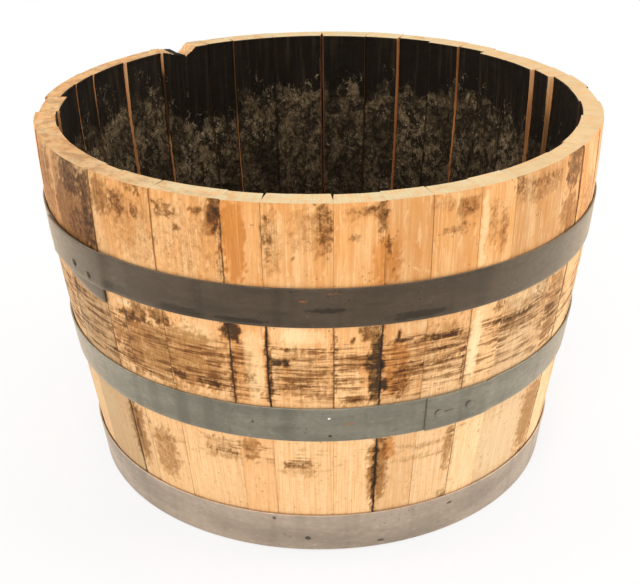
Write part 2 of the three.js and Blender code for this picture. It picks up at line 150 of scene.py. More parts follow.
# Marks on the staves, by kind: from and to angle, from and to height in mm, strength.
MARKS = {
    "dark": [
        (214.5, 222.5, 400, 448, 0.85), (216, 224, 345, 392, 0.6), (222.0, 224.9, 340, 448, 1.0),
        (203, 209, 380, 448, 0.45), (226, 229, 396, 430, 0.35), (230, 233.8, 400, 428, 0.72),
        (235.2, 237.6, 402, 420, 0.65), (234.0, 238.8, 428, 448, 0.6), (240.3, 244.6, 410, 431, 0.7),
        (244.2, 245.6, 400, 409, 0.8), (247.6, 250.3, 421, 427, 0.9), (251.0, 253.3, 404, 452, 1.05),
        (252.3, 253.3, 350, 410, 0.7), (259.9, 261.9, 372, 432, 0.5), (269.4, 272.1, 390, 448, 0.62),
        (265.2, 265.7, 378, 383, 1.0), (274.9, 280.6, 424, 434, 0.55), (274.4, 276.8, 398, 409, 0.5),
        (279.5, 281.0, 401, 448, 0.95), (280.9, 282.0, 379, 401, 1.0), (294.0, 296.8, 413, 426, 0.5),
        (290.8, 296.6, 394, 404, 0.6), (282.1, 282.8, 362, 368, 0.9), (303, 304, 370, 400, 0.5),
        (305.2, 308.2, 415, 448, 0.55), (308, 318.6, 415, 432, 0.38), (321.2, 327.4, 396, 448, 0.9),
        (231.5, 236.5, 286, 306, 0.8), (227.2, 237, 279, 289, 1.1), (236.4, 241.5, 284, 306, 0.9),
        (219.6, 225.6, 193, 228, 0.45), (211, 214, 262, 300, 0.5), (239.5, 243.6, 221, 233, 0.85),
        (245.2, 250.6, 221, 232, 0.8), (251.8, 255.6, 282, 308, 1.5), (252.7, 254.0, 205, 280, 0.8),
        (255, 258, 233, 243, 0.6), (259.7, 261.0, 205, 306, 0.95), (261, 272, 276, 281, 0.72),
        (260.6, 264.6, 257, 266, 1.6), (264.4, 270, 262, 267, 0.55), (261, 271, 230, 240, 0.5),
        (275.0, 275.9, 285, 292, 1.1), (272.0, 272.9, 205, 306, 0.6), (272.4, 278, 233, 238, 0.7),
        (273, 279, 208, 213, 0.75), (278.6, 281.0, 205, 306, 1.2), (280.2, 280.9, 205, 308, 1.7),
        (278.9, 282.8, 223, 238, 1.8), (277.8, 281.6, 243, 272, 1.15), (276.6, 280.8, 286, 306, 0.9),
        (283.2, 286.2, 212, 250, 0.55), (283.2, 286.8, 280, 285, 1.7), (283.6, 284.4, 284, 294, 1.7),
        (281.2, 288, 280, 284, 0.8), (287.5, 298.1, 276, 284, 1.0), (282.5, 298.1, 247, 254, 0.66),
        (290, 298.1, 262, 267, 0.55), (297.2, 298.1, 200, 262, 0.8), (302.6, 315, 272, 281, 0.85),
        (303.6, 305.8, 288, 306, 0.7), (314.5, 320, 285, 306, 0.55), (319.6, 325.3, 240, 262, 0.55),
        (225.5, 226.8, 90, 162, 0.7), (245.5, 253.2, 130, 138, 0.6), (243, 253, 150, 154, 0.45),
        (253.4, 257, 138, 150, 0.4), (261.2, 268.6, 121, 130, 0.62), (280.2, 281.3, 56, 161, 1.2),
        (279.2, 282.6, 90, 130, 0.45), (279.2, 284, 153, 161, 0.75), (295.6, 298.1, 48, 64, 0.6),
    ],
    "tan": [
        (210.4, 224.9, 300, 438, 0.85), (198, 210, 320, 438, 0.6), (225, 229.8, 393, 436, 0.85),
        (229.4, 235, 390, 436, 0.6), (230, 240, 350, 436, 0.42), (240, 253.3, 350, 436, 0.32),
        (250, 253.3, 398, 437, 0.8), (260.2, 263.5, 360, 436, 0.5), (264.5, 270.5, 388, 434, 0.45),
        (268.5, 272.2, 380, 438, 0.6), (273.5, 280.8, 420, 436, 0.5), (293.1, 298.0, 409, 432, 0.75),
        (289, 293, 420, 434, 0.4), (300, 302, 375, 425, 0.5), (302.5, 304.5, 362, 412, 0.6),
        (306, 319, 405, 434, 0.5), (320.4, 327.4, 345, 396, 0.75), (328, 338, 345, 400, 0.4),
        (224.9, 254, 207, 292, 0.85), (199, 224.8, 205, 300, 0.4), (281, 298, 212, 280, 0.35),
        (260.9, 272.2, 214, 280, 0.6), (272.4, 279, 206, 280, 0.3), (251, 258, 205, 282, 0.55),
        (260.9, 272, 222, 275, 0.55), (272.2, 279, 252, 270, 0.7), (272.2, 279, 206, 220, 0.5),
        (282.8, 287.2, 206, 256, 0.7), (288, 298.2, 240, 300, 0.55), (302, 320, 250, 300, 0.5),
        (320, 327.5, 205, 306, 0.85), (223.5, 228.5, 70, 162, 0.9), (230.5, 237.5, 66, 145, 0.7),
        (244.1, 253.3, 120, 153, 0.5), (253.3, 257.6, 126, 162, 0.75), (261, 270, 108, 134, 0.5),
        (279.0, 283.4, 70, 161, 0.95), (283, 297.8, 118, 126, 0.45), (284, 298, 133, 142, 0.4),
        (295.8, 298.1, 95, 160, 0.8), (320, 327.5, 54, 161, 0.9),
    ],
    "orange": [
        (204, 212, 300, 400, 0.5), (253.3, 257.6, 347, 448, 0.9), (278.6, 283.8, 347, 404, 0.75),
        (283, 290, 350, 430, 0.35), (281.2, 286.6, 210, 288, 0.85), (276.5, 279.5, 222, 262, 0.6),
        (281.5, 284.8, 128, 160, 0.9),
    ],
    "pale": [
        (298.2, 299.9, 345, 437, 0.9), (298.3, 301, 205, 306, 0.8), (298.3, 305.8, 54, 161, 0.6),
        (305.9, 320, 54, 161, 0.7), (202, 224.8, 58, 161, 0.6), (255.4, 260, 205, 306, 0.7),
        (305.9, 320, 285, 304, 0.5), (306, 319, 350, 405, 0.45), (262, 272, 284, 304, 0.7),
        (228, 233.5, 292, 302, 0.9), (240, 251.5, 270, 298, 0.6), (272.6, 278, 290, 303, 0.5),
        (282, 296, 292, 304, 0.45),
    ],
}

# Marks on each hoop: angle, height, length and width in mm, kind. A later one lies over an earlier one.
HOOP_MARKS = {
    "quarter": [
        (271.3, 192.5, 3.0, 2.6, "bright"), (275.2, 184.5, 11.0, 3.4, "rust"), (271.5, 169, 3.6, 3.2, "dark"),
        (256.5, 184, 2.6, 2.6, "dark"), (295.5, 183, 12.0, 2.0, "dark"), (234.5, 183, 14.0, 90.0, "shade"),
        (241.5, 183, 14.0, 90.0, "shade"), (247.5, 183, 13.0, 90.0, "shade"), (262.0, 176, 16.0, 10.0, "shade"),
    ],
    "head": [
        (259.3, 47, 5.2, 4.4, "dark"), (266.6, 19, 7.0, 4.6, "dark"), (299.5, 40, 8.0, 3.0, "dark"),
        (283, 9, 9.0, 3.0, "dark"),
    ],
    # The smears and shades from 225 to 256 degrees are grime and, in part, painted shade where the left lamp lights
    # this hoop.
    "bilge": [
        (267.0, 337, 9.0, 2.6, "rust"), (272.0, 345, 16.0, 3.0, "rust"), (225.0, 330, 30.0, 24.0, "shade"),
        (229.5, 314, 44.0, 12.0, "smear"), (236.0, 318, 46.0, 20.0, "shade"), (243.5, 311, 58.0, 11.0, "smear"),
        (252.0, 320, 40.0, 8.0, "shade"), (256.0, 311, 50.0, 6.0, "smear"), (262.0, 322, 34.0, 6.0, "shade"),
        (271.0, 326, 44.0, 6.0, "smear"), (280.0, 331, 30.0, 5.0, "shade"), (287.0, 313, 60.0, 9.0, "smear"),
        (297.0, 330, 36.0, 16.0, "shade"), (216.5, 319, 4.0, 4.0, "dark"),
    ],
}

# The hoops as the photographed barrel has them: top, bottom, and drop of the covered end, then the angles of the over
# end and of the lap.
HOOPS = {
    "bilge": (0.3505, 0.306, 0.018, 204, 21.4),
    "quarter": (0.205, 0.1615, 0, 290.4, 13.5),
    "head": (0.053, 0.0012, 0, 58, 15),
}

# Each hoop's rivets, as an angle and a share of its width, and its dullness, grime and dust.
RIVETS = {
    "bilge": ((216.5, 0.3), (221.4, 0.2)),
    "quarter": ((293, 0.5), (300, 0.5)),
    "head": ((61.5, 0.5), (69, 0.5)),
}
PATINA = {"bilge": (0.42, 0.45, 0.9), "quarter": (0.40, 0.50, 0.7), "head": (0.44, 0.30, 0.2)}

# Gap between a hoop's lapped ends, how much thinner and how wavy the strip is, and where its joggle starts and how long
# it is.
LAP_GAP, STRIP_SHY, STRIP_WAVE = 0.00035, 0.00006, 0.00012
JOGGLE_START, JOGGLE = math.radians(0.4), math.radians(3)

# Radii of a rivet's shank and head, height of its dome, where its shank starts, and its head's play over the strip.
SHANK, RIVET_HEAD, DOME, RIVET_START, RIVET_PLAY = 0.0024, 0.0041, 0.0010, 0.0002, 0.0005

HEAD_BOARDS = 6
HEAD_TURN = math.radians(24)

# Heights that divide the outside by its hoops, and how far round from the front the photograph shows stains.
ABOVE_BILGE, ABOVE_QUARTER = 0.33, 0.18
SEEN = 74

# The lamps: name, place, aim, width and power. The camera stands at the photograph's viewing angle.
LAMPS = (
    ("front_softbox", (-0.5, -2.7, 1.5), (0, 0, 0.2), 2.4, 46),
    ("left_softbox", (-2.7, 0.1, 0.9), (0, 0, 0.25), 2.0, 34),
    ("right_softbox", (2.7, 0.1, 0.9), (0, 0, 0.25), 2.0, 48),
    ("top_softbox", (0.1, 0.5, 2.9), (0, 0, 0.3), 2.4, 24),
)
FLOOR_RADIUS, FLOOR_DROP = 14, 0.0003
CAMERA_PLACE, CAMERA_AIM = Vector((0, -1.2896, 0.8309)), Vector((0, 0, 0.1817))
CAMERA_LENS, CAMERA_SHIFT, CAMERA_ROLL = 63.17, -0.0014, math.radians(-0.64)


# ---------------------------------------------------------------- small sums


def smooth(t):
    k = min(1.0, max(0.0, t))
    return k * k * (3 - 2 * k)


def colour(red, green, blue):
    """A colour of 0 to 255, as a screen shows it, in linear light."""
    return tuple((c / 255 / 12.92) if c < 10.3 else ((c / 255 + 0.055) / 1.055) ** 2.4 for c in (red, green, blue))


def darker(rgb, share):
    return tuple(c * share for c in rgb)


def polar(radius, angle, height):
    return Vector((radius * math.cos(angle), radius * math.sin(angle), height))


def swing(point, angle):
    """How far round from an angle a point lies, from minus half a turn to half a turn."""
    return (math.atan2(point.y, point.x) - angle + math.pi) % (2 * math.pi) - math.pi


# ---------------------------------------------------------------- what a user would change


def length(name, default, text):
    return FloatProperty(name=name, description=text, default=default, min=0, unit="LENGTH", subtype="DISTANCE")


def sweep(name, default, text):
    return FloatProperty(name=name, description=text, default=default, subtype="ANGLE")


def tint(name, rgb, text):
    return FloatVectorProperty(name=name, description=text, default=colour(*rgb), min=0, max=1, size=3, subtype="COLOR")


class TubSizes(bpy.types.PropertyGroup):
    """Sizes of the coopered tub."""

    height: length("Height", 0.438, "From the floor to the sawn rim")
    bilge_radius: length("Bilge radius", 0.330, "Outer radius at the rim, where the barrel was widest")
    bow: length("Bow", 0.0845, "How far the staves draw in towards the foot")
    ease: length("Ease", 0.0397, "How much of the bow is given back near the foot")
    stave_thick: length("Stave thickness", 0.0265, "Thickness of a stave at the rim")
    joint_gap: length("Joint gap", 0.00001, "Gap between neighbouring staves")
    rim_round: length("Rim edge", 0.0012, "Broken edge of the sawn rim")
    foot_round: length("Foot edge", 0.0025, "Broken edge of the foot")
    howel_top: length("Howel top", 0.092, "Height where the shaved band inside starts")
    howel_bottom: length("Howel bottom", 0.066, "Height where the shaved band is deepest")
    howel_cut: length("Howel cut", 0.0024, "Depth of the shaved band")
    croze_height: length("Croze height", 0.038, "Height of the groove that holds the head")
    croze_depth: length("Croze depth", 0.006, "Depth of the groove that holds the head")
    char_depth: length("Char relief", 0.0016, "Depth of the cracks burnt into the inside")
    wear: length("Wear", 0.0003, "Unevenness of the planed outside")


class HoopSizes(bpy.types.PropertyGroup):
    """Sizes of one hoop of flat strip, lapped over its own end and riveted twice."""

    top: length("Top", 0.35, "Height of the upper edge")
    bottom: length("Bottom", 0.306, "Height of the lower edge")
    thick: length("Thickness", 0.0019, "Thickness of the strip")
    fit: length("Fit", 0.00075, "Room between the strip and the staves")
    over_end: sweep("Over end", 3.56, "Where the outer end of the strip lies")
    lap: sweep("Lap", 0.373, "How far the strip passes over its own end")
    drop: length("Drop", 0.0, "How far the covered end slips down from under the strip")


class Looks(bpy.types.PropertyGroup):
    """Colours of wood, char and steel."""

    oak: tint("Oak", (240, 178, 112), "Bare oak outside")
    oak_light: tint("Light oak", (252, 211, 156), "Lightest grain outside")
    oak_deep: tint("Deep oak", (218, 150, 84), "Darkest grain outside")
    brown: tint("Brown stain", (138, 86, 42), "Weathered brown stain")
    black: tint("Black stain", (44, 31, 16), "Black stain and dirt")
    orange: tint("Orange stain", (216, 132, 48), "Tannin bleed")
    rim: tint("Sawn rim", (224, 209, 165), "Freshly sawn end grain")
    joint: tint("Joint face", (206, 138, 82), "Unburnt side of a stave that shows inside")
    char: tint("Char", (24, 17, 9), "Burnt inside")
    ash: tint("Ash", (142, 118, 86), "Grey-brown crust on the burnt inside")
    bilge_steel: tint("Bilge hoop", (84, 71, 56), "Dark strip of the hoop at the bilge")
    quarter_steel: tint("Quarter hoop", (134, 130, 114), "Grey strip of the middle hoop")
    head_steel: tint("Head hoop", (180, 162, 143), "Light strip of the lowest hoop")


class Planter(bpy.types.PropertyGroup):
    """Everything that the planter's operators read."""

    tub: PointerProperty(type=TubSizes)
    bilge: PointerProperty(type=HoopSizes)
    quarter: PointerProperty(type=HoopSizes)
    head: PointerProperty(type=HoopSizes)
    looks: PointerProperty(type=Looks)
    seed: IntProperty(name="Seed", description="Start of the chance variation in grain and wear", default=7)


# ---------------------------------------------------------------- shape of the shell


def outer_radius(tub, z):
    s = (tub.height - z) / tub.height
    return tub.bilge_radius - tub.bow * s * s + tub.ease * s * s * s


def shell_slope(tub, z):
    return (outer_radius(tub, z + MM) - outer_radius(tub, z - MM)) / (2 * MM)


def lean(z, rim, hold, left):
    """The share of a stave's lean felt at a height: all of it at the rim, and what is left below the hoop."""
    return left + (1 - left) * smooth((z - hold) / (rim - hold))


def stave_outline(planter, shy, inward):
    """Corners (radius, height) of a stave's section, up the outside, over the rim and down the inside."""
    tub = planter.tub
    hold = planter.bilge.bottom
    high = tub.height
    low_edge, rim_edge = tub.foot_round, high - tub.rim_round

    def outer(z):
        return outer_radius(tub, z) - shy * lean(z, high, hold, OUTER_LEAN_AT_FOOT)

    def inner(z):
        return outer_radius(tub, z) - tub.stave_thick - inward * lean(z, high, hold, INNER_LEAN_AT_FOOT)

    points = []
    for i in range(OUT_STEPS + 1):
        z = low_edge + (rim_edge - low_edge) * i / OUT_STEPS
        points.append((outer(z), z))
    across = inner(high) - outer(high) + 2 * tub.rim_round
    for i in range(RIM_STEPS + 1):
        points.append((outer(high) - tub.rim_round + across * (i / RIM_STEPS), high))
    for i in range(IN_STEPS + 1):
        z = rim_edge + (tub.howel_top - rim_edge) * i / IN_STEPS
        points.append((inner(z), z))
    croze = tub.croze_height
    wall = outer_radius(tub, croze) - tub.stave_thick + tub.howel_cut
    points += [
        (outer_radius(tub, tub.howel_bottom) - tub.stave_thick + tub.howel_cut, tub.howel_bottom),
        (wall, croze + CROZE_MOUTH),
        (wall + tub.croze_depth, croze + CROZE_FLOOR),
        (wall + tub.croze_depth, croze - CROZE_FLOOR),
        (wall, croze - CROZE_MOUTH),
        (wall - 0.001, CHIME_START),
        (outer_radius(tub, 0) - CHIME_LAND, 0),
        (outer(0) - tub.foot_round, 0),
    ]
    return points


def sort_faces(mesh, tub):
    """Gives each face of a stave the finish of its side: outside, rim, burnt inside, joint face or foot."""
    for face in mesh.faces:
        middle = face.calc_center_median()
        out = Vector((middle.x, middle.y, 0)).normalized()
        across = Vector((-out.y, out.x, 0))
        if abs(face.normal.dot(across)) > 0.7:
            face.material_index = SIDE
        elif face.normal.z > 0.8:
            face.material_index = RIM
        elif face.normal.dot(out) > 0.3 and middle.length > 0.9 * outer_radius(tub, middle.z):
            face.material_index = OUTSIDE
        elif middle.z < tub.croze_height:
            face.material_index = FOOT
        else:
            face.material_index = CHAR


def open_side(mesh, tub, angle, turn, width):
    """Draws the inner edge of a joint face back from its neighbour. turn is 1 at the first joint and -1 at the last."""
    for vert in mesh.verts:
        if abs(swing(vert.co, angle)) > 1e-4:
            continue
        radius = math.hypot(vert.co.x, vert.co.y)
        depth = (outer_radius(tub, vert.co.z) - radius) / tub.stave_thick
        drawn = width * max(0, (depth - 0.35) / 0.65)
        vert.co = Matrix.Rotation(turn * drawn / radius, 3, "Z") @ vert.co


def crack(point):
    """Relief of burnt oak, 0 on a block's crown and 1 in the bottom of a crack between blocks."""
    near = noise.voronoi(point)[0]
    return 1 - smooth((near[1] - near[0]) / 0.42)


def char_line(angle):
    """Height of the ragged edge of the blistered char at an angle."""
    degrees = math.degrees(angle) % 360
    if degrees < CHAR_LINE[0][0]:
        degrees += 360
    for (a, low), (b, high) in zip(CHAR_LINE, CHAR_LINE[1:]):
        if degrees <= b:
            return (low + (high - low) * (degrees - a) / (b - a)) * MM
    return CHAR_LINE[-1][1] * MM


def wear_stave(mesh, tub, start, end, seed):
    """Uneven planing outside and burnt relief inside. Every move is into the wood."""
    middle, half = (start + end) / 2, (end - start) / 2
    shift = Vector((seed * 3.1, seed * 1.7, seed * 0.9))
    for vert in mesh.verts:
        radius = math.hypot(vert.co.x, vert.co.y)
        angle = swing(vert.co, middle)
        z = vert.co.z
        depth = outer_radius(tub, z) - radius
        out = Vector((vert.co.x / radius, vert.co.y / radius, 0))
        if depth < 0.4 * tub.stave_thick and z < tub.height - 0.6 * tub.rim_round:
            edge = min(1.0, abs(angle) / half)
            grain = noise.noise(Vector((angle * 9, 0, z * 5)) * 4 + shift)
            dent = noise.noise(Vector((angle * 30, 1, z * 60)) + shift)
            vert.co -= out * tub.wear * (1.2 * edge**4 + 0.8 * (grain + 0.6) + 0.6 * max(0, dent))
        elif depth > 0.6 * tub.stave_thick and tub.howel_top < z < tub.height - 0.6 * tub.rim_round:
            fade = smooth((tub.height - z) / 0.004)
            ragged = char_line(angle + middle) + 0.016 * noise.noise(Vector((angle * 40, 2, z * 14)) + shift)
            rough = 0.2 + 0.8 * smooth((ragged - z) / 0.03)
            block = crack(Vector((angle * radius / BLOCK_WIDE, 0, z / BLOCK_TALL)) + shift)
            swell = noise.noise(Vector((angle * 24, 3, z * 22)) + shift) + 0.5
            vert.co += out * tub.char_depth * fade * (rough * block + 0.5 * max(0, swell))


def marks_near(start, end):
    """The listed marks that touch a stave, as (kind, middle, half width, level, half height, strength)."""
    near = []
    for kind, marks in MARKS.items():
        for first, last, low, high, strength in marks:
            first, last = math.radians(first), math.radians(last)
            if first - 0.04 < end and last + 0.04 > start:
                middle, level = (first + last) / 2, (low + high) * MM / 2
                near.append((kind, middle, (last - first) / 2, level, (high - low) * MM / 2, strength))
    return near


def mark_stave(mesh, tub, start, end, number, planter):
    """Writes what the wood's finishes read: place on the stave, distance to the joint, shade and stains."""
    chance = random.Random(planter.seed * 1000 + number)
    light, warm = SHADES.get(number, (chance.uniform(0.9, 1.04), chance.uniform(0.9, 1.1)))
    seed = chance.uniform(0, 40)
    layers = {name: getattr(mesh.verts.layers, kind).new(name) for name, kind in LAYERS.items()}
    first, _, inward = STAVES[number - 1]
    last = STAVES[number % len(STAVES)][0]
    middle, half = (start + end) / 2, (end - start) / 2
    shift = Vector((number * 2.3, number * 1.1, number * 0.7))
    near = marks_near(start, end)
    if abs((math.degrees(middle) - 270 + 180) % 360 - 180) > SEEN:
        near += chance_marks(chance, start, end)
    for vert in mesh.verts:
        radius = math.hypot(vert.co.x, vert.co.y)
        angle = swing(vert.co, middle)
        z = vert.co.z
        depth = outer_radius(tub, z) - radius
        stains = {"tan": 0.0, "dark": 0.0, "orange": 0.0, "pale": 0.0}
        drift = noise.noise_vector(Vector((angle * 30, 5, z * 100)) + 3 * shift)
        stray = 0.5 * noise.noise(Vector((angle * 90, 8, z * 270)) + shift)
        for kind, mid, wide, level, tall, strength in near:
            x = (angle + middle + 0.006 * drift.x - mid) / wide
            y = (z + 0.0022 * drift.z - level) / tall
            off = (abs(x) ** 3 + abs(y) ** 3) ** (1 / 3)
            stains[kind] = max(stains[kind], strength * smooth((1.25 + stray - off) / 0.6))
        here = first if angle < 0 else last
        upper, between, lower = DARK_JOINTS.get(here, (0.4, 0.45, 0.4))
        at_rim, under, low = BARE_JOINTS.get(here, (0.5, 0.3, 0.3))
        bare = under + (low - under) * smooth((BARE_ABOVE_LOW[0] - z) / BARE_ABOVE_LOW[1])
        bare += (at_rim - bare) * smooth((z - BARE_TO_RIM[0]) / BARE_TO_RIM[1])
        scars = [
            share * smooth((z - foot) / rise) * smooth((top - z) / fall) for foot, rise, top, fall, share in SCAR_BANDS
        ]
        values = {
            "stave": (angle * radius, depth, z),
            "joint": max(0, (half - abs(angle)) * radius),
            "tone": (light, warm, seed),
            "stain": tuple(stains.values()),
            "scar": max(scars),
            "burn": tub.stave_thick + inward * MM - depth,
            "seam": upper if z > ABOVE_BILGE else between if z > ABOVE_QUARTER else lower,
            "bare": max(0, bare),
            "blister": char_line(angle + middle) - z,
        }
        for name, value in values.items():
            vert[layers[name]] = value


def chance_marks(chance, start, end):
    """Stains for a stave that the photographed side doesn't show, like those that it does."""
    marks = []
    for _ in range(8):
        kind = chance.choice(("tan", "tan", "dark", "dark", "orange"))
        upright = kind == "orange" or chance.random() < 0.5
        mid = chance.uniform(start, end)
        band = chance.choice(((0.35, 0.437), (0.205, 0.306), (0.205, 0.306), (0.054, 0.161)))
        level = chance.uniform(*band)
        wide = chance.uniform(0.006, 0.022) if upright else chance.uniform(0.03, 0.09)
        tall = chance.uniform(0.015, 0.05) if upright else chance.uniform(0.002, 0.008)
        marks.append((kind, mid, wide, level, tall, chance.uniform(0.4, 0.8)))
    return marks


# ---------------------------------------------------------------- pieces


def dress(mesh, name, finishes, node, sharp=35):
    """Turns a finished mesh into a piece that stands for its solid."""
    data = bpy.data.meshes.new(name)
    mesh.to_mesh(data)
    mesh.free()
    for finish in finishes:
        data.materials.append(finish)
    data.polygons.foreach_set("use_smooth", [True] * len(data.polygons))
    data.set_sharp_from_angle(angle=math.radians(sharp))
    piece = bpy.data.objects.new(name, data)
    bpy.context.scene.collection.objects.link(piece)
    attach(piece, "root")
    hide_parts(node)


def break_edges(mesh, edges, width, finish=-1):
    """Rounds edges off. The new faces take the finish given, or else their neighbours'."""
    bmesh.ops.bevel(
        mesh, geom=edges, offset=width, segments=2, profile=0.5, affect="EDGES", material=finish, clamp_overlap=True
    )


def cut(mesh, cutter):
    """Takes the cutter's volume out of a mesh and returns the mesh that is left."""
    scene = bpy.context.scene
    bodies = []
    for name, source in (("body", mesh), ("cutter", cutter)):
        data = bpy.data.meshes.new(name)
        source.to_mesh(data)
        source.free()
        for _ in range(6):
            data.materials.append(None)
        body = bpy.data.objects.new(name, data)
        scene.collection.objects.link(body)
        bodies.append(body)
    modifier = bodies[0].modifiers.new("cut", "BOOLEAN")
    modifier.operation = "DIFFERENCE"
    modifier.solver = "EXACT"
    modifier.object = bodies[1]
    left = bmesh.new()
    left.from_object(bodies[0], bpy.context.evaluated_depsgraph_get())
    for body in bodies:
        data = body.data
        bpy.data.objects.remove(body)
        bpy.data.meshes.remove(data)
    return left


def wedge(corners, face, inner, outer, slope):
    """A cutter between two radii. Its corners are (angle, height where it meets the inner face, share of the slope)."""
    mesh = bmesh.new()
    ends = [
        [mesh.verts.new(polar(r, math.radians(angle), z - (r - face) * slope * share)) for angle, z, share in corners]
        for r in (inner, outer)
    ]
    rims = [mesh.faces.new(end) for end in ends]
    edges = [edge for rim in rims for edge in rim.edges]
    bmesh.ops.bridge_loops(mesh, edges=edges)
    bmesh.ops.recalc_face_normals(mesh, faces=mesh.faces)
    for finished in mesh.faces:
        finished.material_index = BREAK
    return mesh


def chip_stave(mesh, tub):
    """Breaks the end of the chipped stave: a steep fresh flank on the right and a low sooty one rising to the left."""
    high = tub.height
    corners = [(CHIP_RIGHT, high + 0.0006, 0)]
    corners += [(angle, high - deep * MM, tilt) for angle, deep, tilt in CHIP_COURSE]
    corners += [(CHIP_LEFT, high + 0.0006, 0), (CHIP_LEFT, high + 0.03, 0), (CHIP_RIGHT, high + 0.03, 0)]
    face = tub.bilge_radius - tub.stave_thick
    chip = wedge(corners, face, face - 0.04, tub.bilge_radius + 0.02, 0.5)
    for side in chip.faces:
        middle = side.calc_center_median()
        angle = math.degrees(math.atan2(middle.y, middle.x))
        side.material_index = BREAK if angle < CHIP_FRESH_TO else CHAR if angle < CHIP_BURNT_TO else RIM
    return cut(mesh, chip)


def split_stave(mesh, tub):
    """Opens the drying split in the sawn end of one stave."""
    bar = bmesh.new()
    bmesh.ops.create_cube(bar, size=1)
    bmesh.ops.scale(bar, vec=(SPLIT_LENGTH, SPLIT_WIDTH, 2 * SPLIT_DEPTH), verts=bar.verts)
    upright = [edge for edge in bar.edges if abs(edge.verts[0].co.z - edge.verts[1].co.z) > SPLIT_DEPTH]
    break_edges(bar, upright, SPLIT_EDGE)
    bmesh.ops.translate(bar, vec=(SPLIT_RADIUS, 0, tub.height), verts=bar.verts)
    turn = Matrix.Rotation(math.radians(SPLIT_ANGLE), 3, "Z")
    bmesh.ops.rotate(bar, cent=(0, 0, 0), matrix=turn, verts=bar.verts)
    for face in bar.faces:
        face.material_index = SIDE
    return cut(mesh, bar)


def build_stave(planter, number, finishes):
    """Spins a stave's section from joint to joint, opens and breaks its edges, wears it and marks it."""
    tub = planter.tub
    first, shy, inward = STAVES[number - 1]
    last = STAVES[number % len(STAVES)][0]
    if last < first:
        last += 360
    gap = tub.joint_gap / 2 / (tub.bilge_radius - tub.stave_thick)
    start, end = math.radians(first) + gap, math.radians(last) - gap
    steps = max(6, round((end - start) / math.radians(ROUND_STEP)))

    mesh = bmesh.new()
    corners = [mesh.verts.new(polar(radius, start, z)) for radius, z in stave_outline(planter, shy * MM, inward * MM)]
    section = mesh.faces.new(corners)
    around = {"cent": (0, 0, 0), "axis": (0, 0, 1), "angle": end - start, "steps": steps}
    bmesh.ops.spin(mesh, geom=[section, *section.edges, *section.verts], use_duplicate=False, **around)
    bmesh.ops.recalc_face_normals(mesh, faces=mesh.faces)
    sort_faces(mesh, tub)
    chance = random.Random(planter.seed * 50 + number)
    open_side(mesh, tub, start, 1, OPEN_JOINTS.get(first, chance.uniform(0, 0.3)) * MM)
    open_side(mesh, tub, end, -1, OPEN_JOINTS.get(last % 360, chance.uniform(0, 0.3)) * MM)
    for finish, width in ((OUTSIDE, OUTER_EDGE), (CHAR, INNER_EDGE)):
        edges = []
        for edge in mesh.edges:
            kinds = sorted(face.material_index for face in edge.link_faces)
            upper = min(vert.co.z for vert in edge.verts) > (tub.howel_top if finish == CHAR else 0.001)
            if upper and kinds == sorted((finish, SIDE)):
                edges.append(edge)
        break_edges(mesh, edges, width, finish)
    if number == CHIPPED:
        mesh = chip_stave(mesh, tub)
    if number == SPLIT:
        mesh = split_stave(mesh, tub)
    wear_stave(mesh, tub, start, end, number)
    mark_stave(mesh, tub, start, end, number, planter)
    name = f"stave_{number:02d}"
    dress(mesh, "oak_" + name, finishes, name)


def build_board(planter, number, finish):
    """A head board: a merged copy of its solid with broken edges."""
    name = f"head_board_{number}"
    mesh = bmesh.new()
    mesh.from_mesh(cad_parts[name].data)
    bmesh.ops.remove_doubles(mesh, verts=mesh.verts, dist=1e-5)
    bmesh.ops.dissolve_limit(mesh, angle_limit=math.radians(1), verts=mesh.verts, edges=mesh.edges)
    sharp = [
        edge
        for edge in mesh.edges
        if len(edge.link_faces) == 2 and edge.calc_face_angle() > math.radians(50) and edge.calc_length() > 0.02
    ]
    break_edges(mesh, sharp, BOARD_EDGE)
    bmesh.ops.triangulate(mesh, faces=[face for face in mesh.faces if len(face.verts) > 4])
    tone = mesh.verts.layers.float_vector.new("tone")
    chance = random.Random(planter.seed * 90 + number)
    shade = (chance.uniform(0.85, 1.1), chance.uniform(0.9, 1.1), chance.uniform(0, 40))
    for vert in mesh.verts:
        vert[tone] = shade
    dress(mesh, "oak_" + name, [finish], name, sharp=40)


# ---------------------------------------------------------------- hoops


def hoop_lift(hoop, turned):
    """How far the strip is lifted by its own covered end: over it for the lap, then down the joggle."""
    return (hoop.thick + LAP_GAP) * (1 - smooth((turned - hoop.lap - JOGGLE_START) / JOGGLE))


def bend_hoop(mesh, planter, hoop, seed):
    """Bends a flat strip round the staves: over its own end, down a joggle and on round, a little uneven."""
    tub = planter.tub
    strip = mesh.verts.layers.float_vector["strip"]
    for vert in mesh.verts:
        turned, level, depth = vert[strip]
        sunk = hoop.drop * smooth((turned - 2 * math.pi) / hoop.lap)
        z = hoop.bottom + level - sunk
        slope = shell_slope(tub, z)
        wave = noise.noise(Vector((turned * 5, seed, 0))) + 0.5 * noise.noise(Vector((turned * 17, seed, level * 20)))
        radius = outer_radius(tub, z) + hoop.fit + hoop_lift(hoop, turned) + depth - STRIP_WAVE * (1 + wave)
        vert.co = polar(radius, hoop.over_end + turned, z - depth * slope * 0.5)


